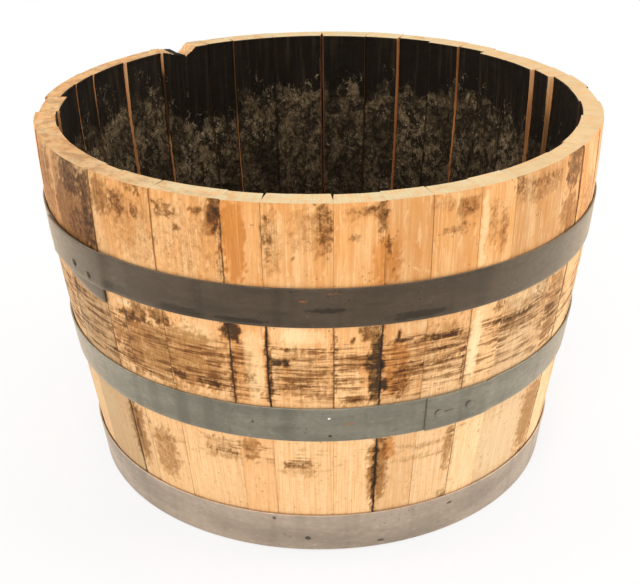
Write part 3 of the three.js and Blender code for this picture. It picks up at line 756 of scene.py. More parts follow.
def build_hoop(planter, name, rivets, finish):
    """Cuts a flat strip, breaks its edges, and bends it into the hoop."""
    tub, hoop = planter.tub, getattr(planter, name)
    wide = hoop.top - hoop.bottom
    thick = hoop.thick - STRIP_SHY
    turn = 2 * math.pi + hoop.lap
    reach = outer_radius(tub, hoop.top)
    mesh = bmesh.new()
    bmesh.ops.create_grid(mesh, x_segments=round(math.degrees(turn)), y_segments=10, size=0.5)
    bmesh.ops.scale(mesh, vec=(turn * reach, wide, 1), verts=mesh.verts)
    bmesh.ops.translate(mesh, vec=(turn * reach / 2, wide / 2, 0), verts=mesh.verts)
    raised = bmesh.ops.extrude_face_region(mesh, geom=list(mesh.faces), use_keep_orig=True)["geom"]
    lifted = [part for part in raised if isinstance(part, bmesh.types.BMVert)]
    bmesh.ops.translate(mesh, vec=(0, 0, thick), verts=lifted)
    bmesh.ops.recalc_face_normals(mesh, faces=mesh.faces)
    arris = [edge for edge in mesh.edges if len(edge.link_faces) == 2 and edge.calc_face_angle() > math.radians(60)]
    break_edges(mesh, arris, STRIP_EDGE)
    strip = mesh.verts.layers.float_vector.new("strip")
    for vert in mesh.verts:
        vert[strip] = (vert.co.x / reach, vert.co.y, vert.co.z)
    bend_hoop(mesh, planter, hoop, len(name))
    bmesh.ops.recalc_face_normals(mesh, faces=mesh.faces)
    dress(mesh, name + "_strip", [finish], name + "_hoop", sharp=50)
    for number, (angle, share) in enumerate(rivets, 1):
        build_rivet(planter, hoop, name, number, math.radians(angle), hoop.bottom + share * wide, finish)


def build_rivet(planter, hoop, name, number, angle, z, finish):
    """A hammered rivet: a short shank under a low uneven head."""
    tub = planter.tub
    under = 2 * hoop.thick + LAP_GAP + RIVET_PLAY
    profile = [(0, RIVET_START), (SHANK, RIVET_START), (SHANK, under)]
    profile += [(RIVET_HEAD, under), (RIVET_HEAD * 0.985, under + DOME * 0.18)]
    for i in range(1, 7):
        a = math.pi / 2 * i / 7
        profile.append((RIVET_HEAD * math.cos(a) ** 0.8, under + DOME * (0.18 + 0.8 * math.sin(a))))
    profile.append((0, under + DOME * 0.98))
    mesh = bmesh.new()
    points = [mesh.verts.new((r, 0, h)) for r, h in profile]
    edges = [mesh.edges.new(pair) for pair in zip(points, points[1:])]
    around = {"cent": (0, 0, 0), "axis": (0, 0, 1), "angle": 2 * math.pi, "steps": 28}
    bmesh.ops.spin(mesh, geom=points + edges, use_merge=True, use_duplicate=False, **around)
    bmesh.ops.remove_doubles(mesh, verts=mesh.verts, dist=1e-6)
    for vert in mesh.verts:
        flat = Vector((vert.co.x, vert.co.y, 0))
        if vert.co.z > under and flat.length > 1e-5:
            vert.co += flat * 0.03 * noise.noise(flat * 260 + Vector((number, len(name), 0)))
    bmesh.ops.recalc_face_normals(mesh, faces=mesh.faces)
    out = Vector((math.cos(angle), math.sin(angle), -shell_slope(tub, z))).normalized()
    turn = Vector((0, 0, 1)).rotation_difference(out).to_matrix().to_4x4()
    seat = Matrix.Translation(polar(outer_radius(tub, z) + hoop.fit, angle, z)) @ turn
    bmesh.ops.transform(mesh, matrix=seat, verts=mesh.verts)
    strip = mesh.verts.layers.float_vector.new("strip")
    for vert in mesh.verts:
        vert[strip] = (angle - hoop.over_end, z - hoop.bottom + (vert.co.z - z), 0)
    dress(mesh, f"{name}_rivet_head_{number}", [finish], f"{name}_rivet_{number}", sharp=40)


# ---------------------------------------------------------------- finishes


class Tree:
    """A node tree in the making. Most methods add nodes and return their result."""

    def __init__(self, owner):
        owner.use_nodes = True
        self.tree = owner.node_tree
        self.tree.nodes.clear()

    def put(self, socket, value):
        if isinstance(value, bpy.types.NodeSocket):
            self.tree.links.new(value, socket)
        elif socket.type == "RGBA":
            socket.default_value = (*tuple(value)[:3], 1)
        else:
            socket.default_value = value

    def node(self, kind, inputs=(), result=0, **settings):
        """Adds a node and returns one of its results, or the node itself where it has none."""
        made = self.tree.nodes.new(kind)
        for key, value in settings.items():
            setattr(made, key, value)
        for key, value in dict(inputs).items():
            self.put(made.inputs[key], value)
        return made.outputs[result] if made.outputs else made

    def attribute(self, name, result="Vector"):
        return self.node("ShaderNodeAttribute", attribute_name=name, attribute_type="GEOMETRY", result=result)

    def place(self):
        return self.node("ShaderNodeTexCoord", result="Object")

    def parts(self, vector):
        made = self.tree.nodes.new("ShaderNodeSeparateXYZ")
        self.put(made.inputs[0], vector)
        return made.outputs[0], made.outputs[1], made.outputs[2]

    def vector(self, x=0.0, y=0.0, z=0.0):
        return self.node("ShaderNodeCombineXYZ", {0: x, 1: y, 2: z})

    def math(self, operation, a, b=0.0, c=0.0):
        return self.node("ShaderNodeMath", {0: a, 1: b, 2: c}, operation=operation)

    def times(self, first, *others):
        for other in others:
            first = self.math("MULTIPLY", first, other)
        return first

    def plus(self, a, b):
        return self.math("ADD", a, b)

    def less(self, a, b):
        return self.math("SUBTRACT", a, b)

    def over(self, a, b):
        return self.math("DIVIDE", a, b)

    def swayed(self, value, ground, weight):
        """A value moved up and down by a noise about its middle."""
        return self.math("MULTIPLY_ADD", self.less(ground, 0.5), weight, value)

    def scaled(self, vector, by):
        return self.node("ShaderNodeVectorMath", {0: vector, 1: by}, operation="MULTIPLY")

    def moved(self, vector, by):
        return self.node("ShaderNodeVectorMath", {0: vector, 1: by}, operation="ADD")

    def turned(self, vector, rotation, scale=(1, 1, 1)):
        return self.node("ShaderNodeMapping", {"Vector": vector, "Rotation": rotation, "Scale": scale})

    def noise(self, vector, stretch=None, detail=3.0, rough=0.5, bend=0.0):
        place = vector if stretch is None else self.scaled(vector, stretch)
        inputs = {"Vector": place, "Scale": 1.0, "Detail": detail, "Roughness": rough, "Distortion": bend}
        return self.node("ShaderNodeTexNoise", inputs)

    def cells(self, vector, feature="DISTANCE_TO_EDGE"):
        return self.node("ShaderNodeTexVoronoi", {"Vector": vector, "Scale": 1.0, "Randomness": 1.0}, feature=feature)

    def step(self, value, low, high, to_low=0.0, to_high=1.0):
        """to_low below low and to_high above high, smooth between them."""
        inputs = {"Value": value, "From Min": low, "From Max": high, "To Min": to_low, "To Max": to_high}
        return self.node("ShaderNodeMapRange", inputs, interpolation_type="SMOOTHSTEP")

    def fall(self, value, low, high):
        return self.step(value, low, high, 1.0, 0.0)

    def mix(self, share, a, b, blend="MIX"):
        """Two colours mixed. The mix node's sockets 6 and 7, and its result 2, are the ones for colours."""
        return self.node("ShaderNodeMix", {0: share, 6: a, 7: b}, 2, data_type="RGBA", blend_type=blend)

    def wash(self, field, grounds, low, high, soft=0.25):
        """A stain that soaks in unevenly: its field, broken up by noises, each with its own weight."""
        ragged = field
        for ground, weight in grounds:
            ragged = self.swayed(ragged, ground, weight)
        return self.times(self.step(ragged, low, high), self.step(field, 0.02, soft))

    def seen_directly(self):
        """1 where a ray comes from the camera, a gloss or a glass."""
        path = self.tree.nodes.new("ShaderNodeLightPath")
        camera, gloss, glass = (path.outputs[f"Is {ray} Ray"] for ray in ("Camera", "Glossy", "Transmission"))
        return self.math("MAXIMUM", self.math("MAXIMUM", camera, gloss), glass)


class Sheet(Tree):
    """The finish of a piece. Its base colour is laid on in coats."""

    def __init__(self, name):
        self.material = bpy.data.materials.new(name)
        super().__init__(self.material)
        self.shader = self.tree.nodes.new("ShaderNodeBsdfPrincipled")
        self.node("ShaderNodeOutputMaterial", {0: self.shader.outputs[0]})
        self.base = None

    def wood(self, by):
        """The place on the stave, the same shifted by the stave's own chance, and the stave's lightness and warmth."""
        stave = self.attribute("stave")
        light, warm, seed = self.parts(self.attribute("tone"))
        return stave, self.moved(stave, self.scaled(self.vector(seed, seed, seed), by)), light, warm

    def lay(self, paint, *shares):
        """A coat that covers by its share."""
        self.base = self.mix(self.times(*shares), self.base, paint)

    def dye(self, paint, *shares):
        """A coat that the wood shows through."""
        self.base = self.mix(self.times(*shares), self.base, paint, "MULTIPLY")

    def finish(self, roughness, bump, light=None, **constants):
        """Puts the coats on the shader. bump is (height, strength, distance)."""
        base = self.base
        if light is not None:
            base = self.node("ShaderNodeHueSaturation", {"Value": light, "Color": base})
        height, strength, distance = bump
        normal = self.node("ShaderNodeBump", {"Height": height, "Strength": strength, "Distance": distance})
        for key, value in {"Base Color": base, "Roughness": roughness, "Normal": normal, **constants}.items():
            self.put(self.shader.inputs[key.replace("_", " ")], value)
        return self.material


def oak_outside(looks):
    """Planed oak outside, weathered and stained, with hoop scars, dark joints and a painted light towards the foot."""
    s = Sheet("oak_outside")
    stave, here, light, warm = s.wood((1.0, 0.0, 0.37))
    stain = s.tree.nodes.new("ShaderNodeAttribute")
    stain.attribute_name = "stain"
    split = s.tree.nodes.new("ShaderNodeSeparateColor")
    s.put(split.inputs[0], stain.outputs["Color"])
    tan, dark, orange = split.outputs
    pale = stain.outputs["Alpha"]
    scar = s.attribute("scar", "Fac")
    joint = s.attribute("joint", "Fac")
    seam = s.attribute("seam", "Fac")
    _, _, z = s.parts(stave)

    fibre = s.noise(here, (620, 200, 13), 5, 0.66, 0.2)
    figure = s.noise(here, (130, 30, 6), 4, 0.6, 0.6)
    broad = s.noise(here, (24, 8, 10), 3, 0.5, 0.3)
    blotch = s.noise(here, (150, 40, 130), 6, 0.66, 0.4)
    grit = s.noise(here, (520, 100, 430), 3, 0.6)
    streak = s.noise(here, (15, 8, 205), 5, 0.62, 0.25)
    hair = s.noise(s.moved(s.scaled(here, (30, 10, 540)), (3.3, 0, 8.1)), None, 4, 0.6)
    run = s.noise(here, (210, 40, 13), 4, 0.62, 0.5)
    broken = s.noise(here, (62, 20, 44), 4, 0.6)

    s.base = s.mix(s.step(figure, 0.34, 0.64), looks.oak_deep, looks.oak)
    s.lay(looks.oak_light, s.step(broad, 0.42, 0.70, 0.0, 0.6))
    # Painted light: the staves are made lighter towards the foot, where they face down and take less light from above.
    s.lay(looks.oak_light, s.step(z, 0.10, 0.40, 0.75, 0.0))
    s.lay(looks.oak_deep, s.step(fibre, 0.36, 0.56, 0.55, 0.0))
    s.lay(looks.oak_light, s.step(fibre, 0.54, 0.70, 0.0, 0.55))
    fleck = s.noise(s.turned(here, (0, 0.30, 0), (190, 30, 40)), None, 2, 0.5, 1.2)
    flecked = s.times(s.step(fleck, 0.58, 0.66), s.step(warm, 0.95, 1.2, 0.35, 0.8))
    s.lay(looks.oak_light, flecked)
    s.lay(looks.orange, s.step(warm, 0.8, 1.3, 0.0, 0.35))
    s.lay(looks.oak_deep, s.step(blotch, 0.50, 0.70), 0.45)
    s.lay(looks.oak_deep, s.step(grit, 0.56, 0.72), 0.3)

    # Colour that the wood has taken on: orange bleed, bleached and greyed parts, and a brown wash.
    bled = s.wash(orange, ((run, 1.5), (fibre, 0.8), (broad, 0.8), (blotch, 0.5)), 0.15, 0.95, 0.8)
    s.lay(looks.orange, bled, s.step(run, 0.34, 0.64, 0.9, 0.45))
    rust = s.mix(0.5, looks.orange, looks.brown)
    s.lay(rust, bled, s.step(run, 0.52, 0.66, 0.55, 0.0))
    bleached = s.wash(pale, ((broad, 1.0), (blotch, 0.6)), 0.3, 0.9)
    s.lay(looks.oak_light, bleached, 0.65)
    x, _, _ = s.parts(s.place())
    greyed = s.times(s.fall(z, 0.30, 0.36), s.step(x, 0.0, 0.08, 0.4, 1.0))
    s.dye((1.0, 1.08, 1.20), greyed)
    # Above the bilge hoop the outside is made a little darker, by height alone.
    s.dye((0.95, 0.96, 0.96), s.step(z, 0.32, 0.37))
    level = s.times(scar, 1.6)
    washed = s.wash(tan, ((blotch, 1.3), (grit, 0.5), (streak, level), (run, 0.35)), 0.05, 0.95)
    s.dye((0.47, 0.37, 0.22), washed, 0.95)

    # Scars that the hoops and the driver left: level streaks of brown, broken and of uneven width.
    patchy = s.noise(here, (24, 10, 34), 3, 0.6)
    bare = s.times(scar, s.step(pale, 0.2, 0.7, 1.0, 0.35))
    field = s.wash(bare, ((patchy, 2.8), (broken, 1.0)), 0.35, 1.05)
    scratch = s.times(field, s.step(s.math("MULTIPLY_ADD", broken, 0.35, streak), 0.64, 0.78))
    s.dye((0.35, 0.26, 0.14), scratch, 0.88)
    fine = s.times(s.wash(bare, ((broken, 2.4),), 0.45, 1.15), s.step(hair, 0.53, 0.65))
    s.dye((0.38, 0.28, 0.16), fine, 0.7)

    # Dark stains: a brown edge and a darker heart, broken by blotches and, in the scarred band, by level streaks.
    grounds = ((blotch, 1.9), (grit, 0.8), (streak, level), (run, 0.3))
    edge = s.wash(dark, grounds, 0.16, 0.92)
    s.dye((0.33, 0.25, 0.12), edge, 0.92)
    heart = s.wash(dark, grounds, 0.78, 1.45)
    s.lay(looks.black, heart, 0.85)

    speck = s.cells(s.scaled(here, (190, 30, 150)), "F1")
    rare = s.noise(here, (40, 10, 34), 2)
    dots = s.times(s.fall(speck, 0.10, 0.24), s.step(rare, 0.50, 0.62))
    s.lay(looks.brown, dots, 0.6)

    # Joints: a thin brown line that comes and goes, wide and black only where the seam is strong.
    along = s.noise(here, (0, 0, 55), 4, 0.65)
    width = s.times(s.step(along, 0.32, 0.68, 0.0004, 0.0011), s.step(seam, 0.35, 1.0, 0.7, 2.3))
    line = s.fall(s.over(joint, width), 0.3, 1.0)
    firm = s.times(seam, s.step(along, 0.25, 0.6, 0.5, 1.0))
    s.lay(s.mix(s.step(seam, 0.4, 0.9), looks.brown, looks.black), line, firm)
    creep = s.fall(joint, 0.0, 0.007)
    soaked = s.times(creep, s.times(seam, seam), s.step(blotch, 0.42, 0.64, 0.0, 0.9))
    s.dye((0.50, 0.37, 0.24), soaked)

    height = s.plus(s.times(fibre, 0.5), s.times(grit, 0.3))
    height = s.less(height, s.times(s.plus(heart, scratch), 0.4))
    return s.finish(s.step(fibre, 0.3, 0.7, 0.74, 0.62), (height, 0.45, 0.0006), light, Specular_IOR_Level=0.2)


def oak_rim(looks):
    """Sawn end grain of the rim: pale, with growth rings across the stave, saw lines and a burnt inner edge."""
    s = Sheet("oak_rim")
    stave, here, light, _ = s.wood((1, 0.6, 0))
    _, depth, _ = s.parts(stave)
    rings = s.noise(here, (420, 26, 0), 3, 0.5, 0.4)
    pores = s.noise(here, (1500, 1500, 0), 2)
    broad = s.noise(here, (60, 60, 0), 3)
    saw = s.noise(s.turned(s.place(), (0, 0, 0.5), (16, 460, 1)), None, 2)
    s.base = s.mix(s.step(rings, 0.38, 0.66, 0.0, 0.5), looks.rim, looks.oak)
    s.lay(looks.oak, s.step(broad, 0.45, 0.70, 0.0, 0.45))
    s.lay(looks.oak, s.step(saw, 0.54, 0.66, 0.0, 0.30))
    s.lay(looks.oak_deep, s.step(pores, 0.60, 0.70, 0.0, 0.35))
    soil = s.noise(here, (34, 34, 0), 4, 0.6)
    s.lay(looks.oak_deep, s.step(soil, 0.56, 0.72, 0.0, 0.5))
    x, _, _ = s.parts(s.place())
    handled = s.times(s.step(x, -0.26, -0.10, 0.75, 0.0), s.step(soil, 0.30, 0.62, 0.45, 1.0))
    s.lay(s.mix(0.5, looks.oak, looks.oak_deep), handled)
    s.lay(looks.oak, s.step(x, 0.12, 0.26, 0.0, 0.25))
    grey = s.noise(s.moved(s.scaled(here, (46, 70, 0)), (5.1, 2.3, 0)), None, 4, 0.65)
    grimy = s.times(s.step(grey, 0.42, 0.62), s.step(x, -0.28, 0.0, 0.95, 0.15))
    s.dye((0.66, 0.60, 0.55), grimy)
    ragged = s.swayed(s.attribute("burn", "Fac"), broad, 0.004)
    burnt = s.fall(ragged, 0.0006, 0.0016)
    s.lay(looks.black, burnt, 0.85)
    edge = s.fall(s.plus(depth, s.times(broad, 0.002)), 0.0015, 0.0032)
    s.lay(looks.oak_deep, edge, 0.35)
    joint = s.attribute("joint", "Fac")
    line = s.fall(joint, 0.0001, 0.0006)
    s.lay(looks.brown, line, s.step(broad, 0.42, 0.64, 0.0, 0.5))
    height = s.plus(s.times(saw, 0.6), s.times(rings, 0.4))
    return s.finish(0.72, (height, 0.5, 0.0005), s.math("MULTIPLY_ADD", light, 0.25, 0.75), Specular_IOR_Level=0.3)


def burnt_oak(looks):
    """Charred oak: smooth and dark above, blistered with a grey-brown crust below, its flakes lit by painted
    highlights.
    """
    s = Sheet("oak_char")
    _, here, light, _ = s.wood((1, 0.3, 0.5))
    wander = s.noise(here, (38, 10, 26), 4, 0.62)
    reach = s.swayed(s.attribute("blister", "Fac"), wander, 0.13)
    low = s.step(reach, -0.004, 0.016)
    brushed = s.noise(here, (170, 60, 9), 4, 0.6)
    crust = s.noise(here, (66, 44, 52), 7, 0.66, 0.9)
    flake = s.noise(here, (105, 60, 78), 5, 0.6, 2.2)
    crumb = s.noise(here, (330, 120, 260), 3, 0.6)
    cloud = s.noise(here, (16, 10, 18), 3, 0.5)
    blocks = s.cells(s.moved(s.scaled(here, (118, 60, 84)), s.scaled(s.vector(crust, 0, flake), (0.7, 0, 0.7))))
    s.base = s.mix(s.step(brushed, 0.48, 0.74, 0.0, 0.08), looks.char, looks.ash)
    s.lay(looks.ash, low, 0.07)
    fading = s.step(reach, 0.04, 0.17, 1.0, 0.45)
    ashy = s.times(low, s.step(crust, 0.42, 0.62), s.step(cloud, 0.35, 0.6, 0.35, 1.0))
    s.lay(looks.ash, ashy, s.times(fading, 0.80))
    # Painted highlights: pale flecks where light would catch the glossy flakes of the crust.
    bright = s.times(low, s.step(s.swayed(flake, crumb, 0.35), 0.58, 0.70))
    bright = s.times(bright, s.step(cloud, 0.40, 0.58, 0.25, 1.0))
    s.lay(colour(186, 164, 130), bright, s.times(fading, 0.85))
    # Painted highlights: thin pale lines curling along the raised flakes of the char.
    coil = s.noise(here, (62, 40, 44), 2, 0.45, 1.6)
    ridge = s.fall(s.math("ABSOLUTE", s.less(coil, 0.5)), 0.004, 0.024)
    raised = s.step(s.swayed(s.attribute("blister", "Fac"), wander, 0.25), -0.030, 0.004)
    painted_curl_highlight = s.times(ridge, raised, s.step(s.math("MULTIPLY_ADD", cloud, 0.6, crust), 0.74, 0.90))
    s.lay(colour(168, 146, 114), painted_curl_highlight, s.times(fading, 0.8))
    broken = s.times(s.step(blocks, 0.0, 0.06, 0.75, 0.0), s.step(crumb, 0.40, 0.58))
    s.lay(colour(16, 11, 6), broken, low)
    joint = s.attribute("joint", "Fac")
    s.lay(colour(14, 9, 5), s.step(joint, 0.0006, 0.0030, 0.7, 0.0))
    height = s.plus(s.times(s.step(blocks, 0.0, 0.16), low), s.times(crust, 0.9))
    height = s.plus(height, s.math("MULTIPLY_ADD", painted_curl_highlight, 0.5, s.times(flake, 0.6)))
    return s.finish(s.step(crust, 0.35, 0.65, 0.55, 0.85), (height, 0.8, 0.0016), light, Specular_IOR_Level=0.10)


def oak_joint(looks, name="oak_joint", fresh=False):
    """The side of a stave: unburnt golden wood, browner with depth and where soot has run, splintery where broken."""
    s = Sheet(name)
    _, here, _, _ = s.wood((0.3, 1, 0.5))
    fibre = s.noise(here, (300, 800, 14), 4, 0.6)
    broad = s.noise(here, (20, 60, 9), 3, 0.55)
    s.base = s.mix(s.step(fibre, 0.38, 0.66), looks.joint, looks.oak)
    s.lay(looks.brown, s.step(broad, 0.45, 0.70, 0.0, 0.6))
    if fresh:
        s.lay(looks.oak_light, s.step(fibre, 0.45, 0.6, 0.2, 0.8))
    else:
        bare = s.attribute("bare", "Fac")
        patchy = s.swayed(bare, broad, 0.3)
        sooty = s.mix(0.25, looks.char, looks.brown)
        s.base = s.mix(s.step(patchy, 0.0, 1.0), sooty, s.base)
        s.lay(looks.oak_light, s.step(bare, 1.0, 1.3, 0.0, 0.6))
    relief = (0.9, 0.0012) if fresh else (0.5, 0.0005)
    return s.finish(0.7, (fibre, *relief), Specular_IOR_Level=0.3)


def oak_foot(looks):
    """The staves' lower ends and chime: bare oak, grey-brown from damp."""
    s = Sheet("oak_foot")
    _, here, _, _ = s.wood((1, 0.6, 0))
    rings = s.noise(here, (420, 40, 30), 3, bend=0.4)
    damp = s.noise(here, (30, 60, 60), 4, 0.6)
    s.base = s.mix(s.step(rings, 0.38, 0.66), looks.oak_deep, looks.brown)
    s.lay(looks.black, s.step(damp, 0.40, 0.66, 0.0, 0.75))
    return s.finish(0.8, (rings, 0.5, 0.0006), Specular_IOR_Level=0.3)


def head_boards(looks):
    """Head boards: burnt above, bare and water-marked under."""
    s = Sheet("head_boards")
    place = s.place()
    _, _, z = s.parts(place)
    light, _, seed = s.parts(s.attribute("tone"))
    turned = s.turned(place, (0, 0, -HEAD_TURN))
    here = s.moved(turned, s.scaled(s.vector(seed, seed, seed), (1, 0.5, 0)))
    grain = s.noise(here, (420, 9, 30), 4, 0.6, 0.3)
    broad = s.noise(here, (26, 4, 10), 3, 0.5, 0.4)
    water = s.noise(turned, (12, 9, 4), 4, 0.6)
    bare = s.mix(s.step(grain, 0.36, 0.66), looks.oak_deep, looks.oak)
    bare = s.mix(s.step(broad, 0.40, 0.66, 0.0, 0.6), bare, looks.brown)
    bare = s.mix(s.step(water, 0.45, 0.62, 0.0, 0.7), bare, looks.black)
    crust = s.noise(here, (130, 100, 100), 6, 0.66, 0.5)
    blocks = s.cells(s.moved(s.scaled(here, (90, 52, 60)), s.scaled(s.vector(crust, crust, 0), (0.6, 0.6, 0))))
    burnt = s.mix(s.step(crust, 0.48, 0.66, 0.0, 0.7), looks.char, looks.ash)
    burnt = s.mix(s.fall(blocks, 0.0, 0.10), burnt, colour(12, 10, 8))
    above = s.step(z, 0.040, 0.043)
    s.base = s.mix(above, bare, burnt)
    height = s.plus(s.times(s.step(blocks, 0.0, 0.2), above), s.times(grain, 0.5))
    return s.finish(0.74, (s.plus(height, crust), 0.7, 0.0014), light, Specular_IOR_Level=0.35)


def strip_steel(name, hoop, paint, radius):
    """Old hoop strip: a mottled dull oxide with scuffs, worn edges with a painted highlight, and this hoop's marks."""
    s = Sheet(name + "_patina")
    dullness, grime, dust = PATINA[name]
    turned, level, depth = s.parts(s.attribute("strip"))
    arc = s.times(turned, radius)
    here = s.vector(arc, level, depth)
    cloud = s.noise(here, (9, 34, 0), 4, 0.55)
    band = s.noise(here, (34, 3, 0), 2, 0.5)
    mottle = s.noise(here, (120, 190, 0), 5, 0.62)
    scuff = s.noise(here, (30, 900, 0), 3, 0.6, 0.4)
    dark = darker(paint, 0.42)
    light = tuple(min(1, c * 1.7 + 0.02) for c in paint)
    s.base = s.mix(s.step(cloud, 0.34, 0.66), darker(paint, 0.72), paint)
    s.lay(dark, s.step(band, 0.52, 0.68, 0.0, grime))
    s.lay(dark, s.step(mottle, 0.50, 0.70, 0.0, 0.5 * grime))
    s.lay(light, s.step(mottle, 0.30, 0.42, 0.25, 0.0))
    scratched = s.times(s.step(scuff, 0.62, 0.72), s.step(cloud, 0.42, 0.6))
    s.lay(light, scratched, 0.35)
    speck = s.cells(s.scaled(here, (190, 190, 0)), "F1")
    rare = s.noise(here, (26, 40, 0), 2)
    dots = s.times(s.fall(speck, 0.12, 0.2), s.step(rare, 0.54, 0.62))
    s.lay(darker(paint, 0.2), dots, 0.8)
    wide = hoop.top - hoop.bottom
    # Edges lighter within a few mm: rubbed wear, and in part a painted highlight along them.
    edge = s.math("MINIMUM", level, s.less(wide, level))
    worn_and_highlit_edge = s.fall(s.plus(edge, s.times(mottle, 0.003)), 0.0014, 0.0026)
    s.lay(light, worn_and_highlit_edge, 0.35)
    kinds = {
        "bright": (colour(250, 248, 240), 0.9),
        "rust": (colour(168, 98, 58), 0.45),
        "dark": (darker(paint, 0.12), 0.9),
        "smear": (darker(paint, 0.22), 0.8),
        "shade": (darker(paint, 0.55), 0.55),
    }
    for angle, height, long_mm, tall_mm, kind in HOOP_MARKS[name]:
        far = (math.radians(angle) - hoop.over_end) % (2 * math.pi)
        x = s.over(s.less(turned, far), long_mm * MM / 2 / radius)
        y = s.over(s.less(level, height * MM - hoop.bottom), tall_mm * MM / 2)
        off = s.plus(s.times(x, x), s.times(y, y))
        ragged = s.swayed(s.swayed(off, mottle, 5.0), cloud, 2.0)
        mark, strength = kinds[kind]
        s.lay(mark, s.fall(ragged, 0.3, 1.6), strength)
    rough = s.step(mottle, 0.3, 0.7, dullness, dullness + 0.16)
    height = s.plus(s.times(mottle, 0.5), s.times(band, 1.4))
    s.put(s.shader.inputs["Sheen Tint"], colour(236, 212, 180))
    settings = {"Metallic": 0.75, "Specular_IOR_Level": 0.5, "Sheen_Weight": dust, "Sheen_Roughness": 0.42}
    return s.finish(rough, (height, 0.25, 0.0008), **settings)


# ---------------------------------------------------------------- operators


class PLANTER_OT_staves(bpy.types.Operator):
    """Builds the 36 oak staves with their rim, burnt inside, joint faces, chip and split"""

    bl_idname = "planter.staves"
    bl_label = "Staves"

    def execute(self, context):
        planter = context.scene.planter
        looks = planter.looks
        finishes = [
            oak_outside(looks),
            oak_rim(looks),
            burnt_oak(looks),
            oak_joint(looks),
            oak_foot(looks),
            oak_joint(looks, "oak_break", fresh=True),
        ]
        for number in range(1, len(STAVES) + 1):
            build_stave(planter, number, finishes)
        return {"FINISHED"}


class PLANTER_OT_head(bpy.types.Operator):
    """Builds the six boards of the head"""

    bl_idname = "planter.head"
    bl_label = "Head"

    def execute(self, context):
        planter = context.scene.planter
        finish = head_boards(planter.looks)
        for number in range(1, HEAD_BOARDS + 1):
            build_board(planter, number, finish)
        return {"FINISHED"}


class PLANTER_OT_hoops(bpy.types.Operator):
    """Builds the three hoops and their rivets"""

    bl_idname = "planter.hoops"
    bl_label = "Hoops"

    def execute(self, context):
        planter = context.scene.planter
        for name in HOOPS:
            hoop = getattr(planter, name)
            paint = tuple(getattr(planter.looks, name + "_steel"))
            finish = strip_steel(name, hoop, paint, outer_radius(planter.tub, hoop.top))
            build_hoop(planter, name, RIVETS[name], finish)
        return {"FINISHED"}


def area_lamp(name, place, aim, size, power):
    data = bpy.data.lights.new(name, "AREA")
    data.shape = "DISK"
    data.size = size
    data.energy = power
    lamp = bpy.data.objects.new(name, data)
    lamp.location = place
    lamp.rotation_euler = (Vector(aim) - Vector(place)).to_track_quat("-Z", "Y").to_euler()
    bpy.context.scene.collection.objects.link(lamp)


class PLANTER_OT_studio(bpy.types.Operator):
    """Builds the pale floor, the soft lamps, the white surroundings and the camera"""

    bl_idname = "planter.studio"
    bl_label = "Studio"

    def execute(self, context):
        scene = context.scene
        mesh = bmesh.new()
        bmesh.ops.create_circle(mesh, cap_ends=True, segments=64, radius=FLOOR_RADIUS)
        bmesh.ops.translate(mesh, vec=(0, 0, -FLOOR_DROP), verts=mesh.verts)
        data = bpy.data.meshes.new("studio_floor")
        mesh.to_mesh(data)
        mesh.free()
        floor = bpy.data.objects.new("studio_floor", data)
        scene.collection.objects.link(floor)
        data.materials.append(floor_finish())

        for lamp in LAMPS:
            area_lamp(*lamp)
        surround()

        lens = bpy.data.cameras.new("camera")
        lens.sensor_fit = "HORIZONTAL"
        lens.sensor_width = 36
        lens.lens, lens.shift_x = CAMERA_LENS, CAMERA_SHIFT
        camera = bpy.data.objects.new("camera", lens)
        look = (CAMERA_AIM - CAMERA_PLACE).to_track_quat("-Z", "Y").to_matrix()
        camera.rotation_euler = (look @ Matrix.Rotation(CAMERA_ROLL, 3, "Z")).to_euler()
        camera.location = CAMERA_PLACE
        scene.collection.objects.link(camera)
        scene.camera = camera
        scene.view_settings.view_transform = "Standard"
        return {"FINISHED"}


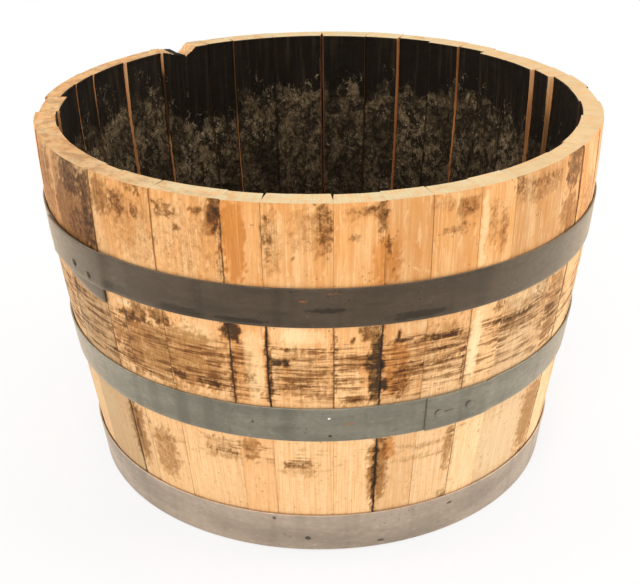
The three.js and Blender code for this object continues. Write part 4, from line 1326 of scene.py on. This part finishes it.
def floor_finish():
    """A pale floor that meets the white surroundings and keeps the planter's shadow."""
    material = bpy.data.materials.new("studio_floor")
    t = Tree(material)
    matte = t.node("ShaderNodeBsdfDiffuse", {"Color": (0.92, 0.92, 0.92)})
    glow = t.node("ShaderNodeEmission", {"Strength": 1.0})
    away = t.node("ShaderNodeVectorMath", {0: t.place()}, "Value", operation="LENGTH")
    share = t.times(t.seen_directly(), t.step(away, 0.35, 1.3, 0.72, 1.0))
    t.node("ShaderNodeOutputMaterial", {0: t.node("ShaderNodeMixShader", {0: share, 1: matte, 2: glow})})
    return material


def surround():
    """White surroundings where they are seen or mirrored, and a plain soft light elsewhere."""
    world = bpy.data.worlds.new("studio")
    bpy.context.scene.world = world
    t = Tree(world)
    soft, white = (t.node("ShaderNodeBackground", {"Color": (1, 1, 1), "Strength": power}) for power in (0.45, 1.0))
    t.node("ShaderNodeOutputWorld", {0: t.node("ShaderNodeMixShader", {0: t.seen_directly(), 1: soft, 2: white})})


class PLANTER_PT_panel(bpy.types.Panel):
    """Lists the planter's pieces and sizes"""

    bl_idname = "PLANTER_PT_panel"
    bl_label = "Barrel Planter"
    bl_space_type = "VIEW_3D"
    bl_region_type = "UI"
    bl_category = "Planter"

    def draw(self, context):
        planter = context.scene.planter
        for operator in OPERATORS:
            self.layout.operator(operator.bl_idname)
        for name in ("tub", *HOOPS, "looks"):
            group = getattr(planter, name)
            box = self.layout.box()
            box.label(text=name.capitalize() + (" hoop" if name in HOOPS else ""))
            for key in group.__annotations__:
                box.prop(group, key)


OPERATORS = (PLANTER_OT_staves, PLANTER_OT_head, PLANTER_OT_hoops, PLANTER_OT_studio)
CLASSES = (TubSizes, HoopSizes, Looks, Planter, *OPERATORS, PLANTER_PT_panel)


def register():
    for cls in CLASSES:
        bpy.utils.register_class(cls)
    bpy.types.Scene.planter = PointerProperty(type=Planter)


def unregister():
    del bpy.types.Scene.planter
    for cls in reversed(CLASSES):
        bpy.utils.unregister_class(cls)


def set_hoops(planter):
    """The three hoops as the photographed barrel has them."""
    for name, (top, bottom, drop, over_end, lap) in HOOPS.items():
        hoop = getattr(planter, name)
        hoop.top, hoop.bottom, hoop.drop = top, bottom, drop
        hoop.over_end, hoop.lap = math.radians(over_end), math.radians(lap)


def main():
    register()
    set_hoops(bpy.context.scene.planter)
    bpy.ops.planter.staves()
    bpy.ops.planter.head()
    bpy.ops.planter.hoops()
    bpy.ops.planter.studio()


if __name__ == "__main__":
    main()
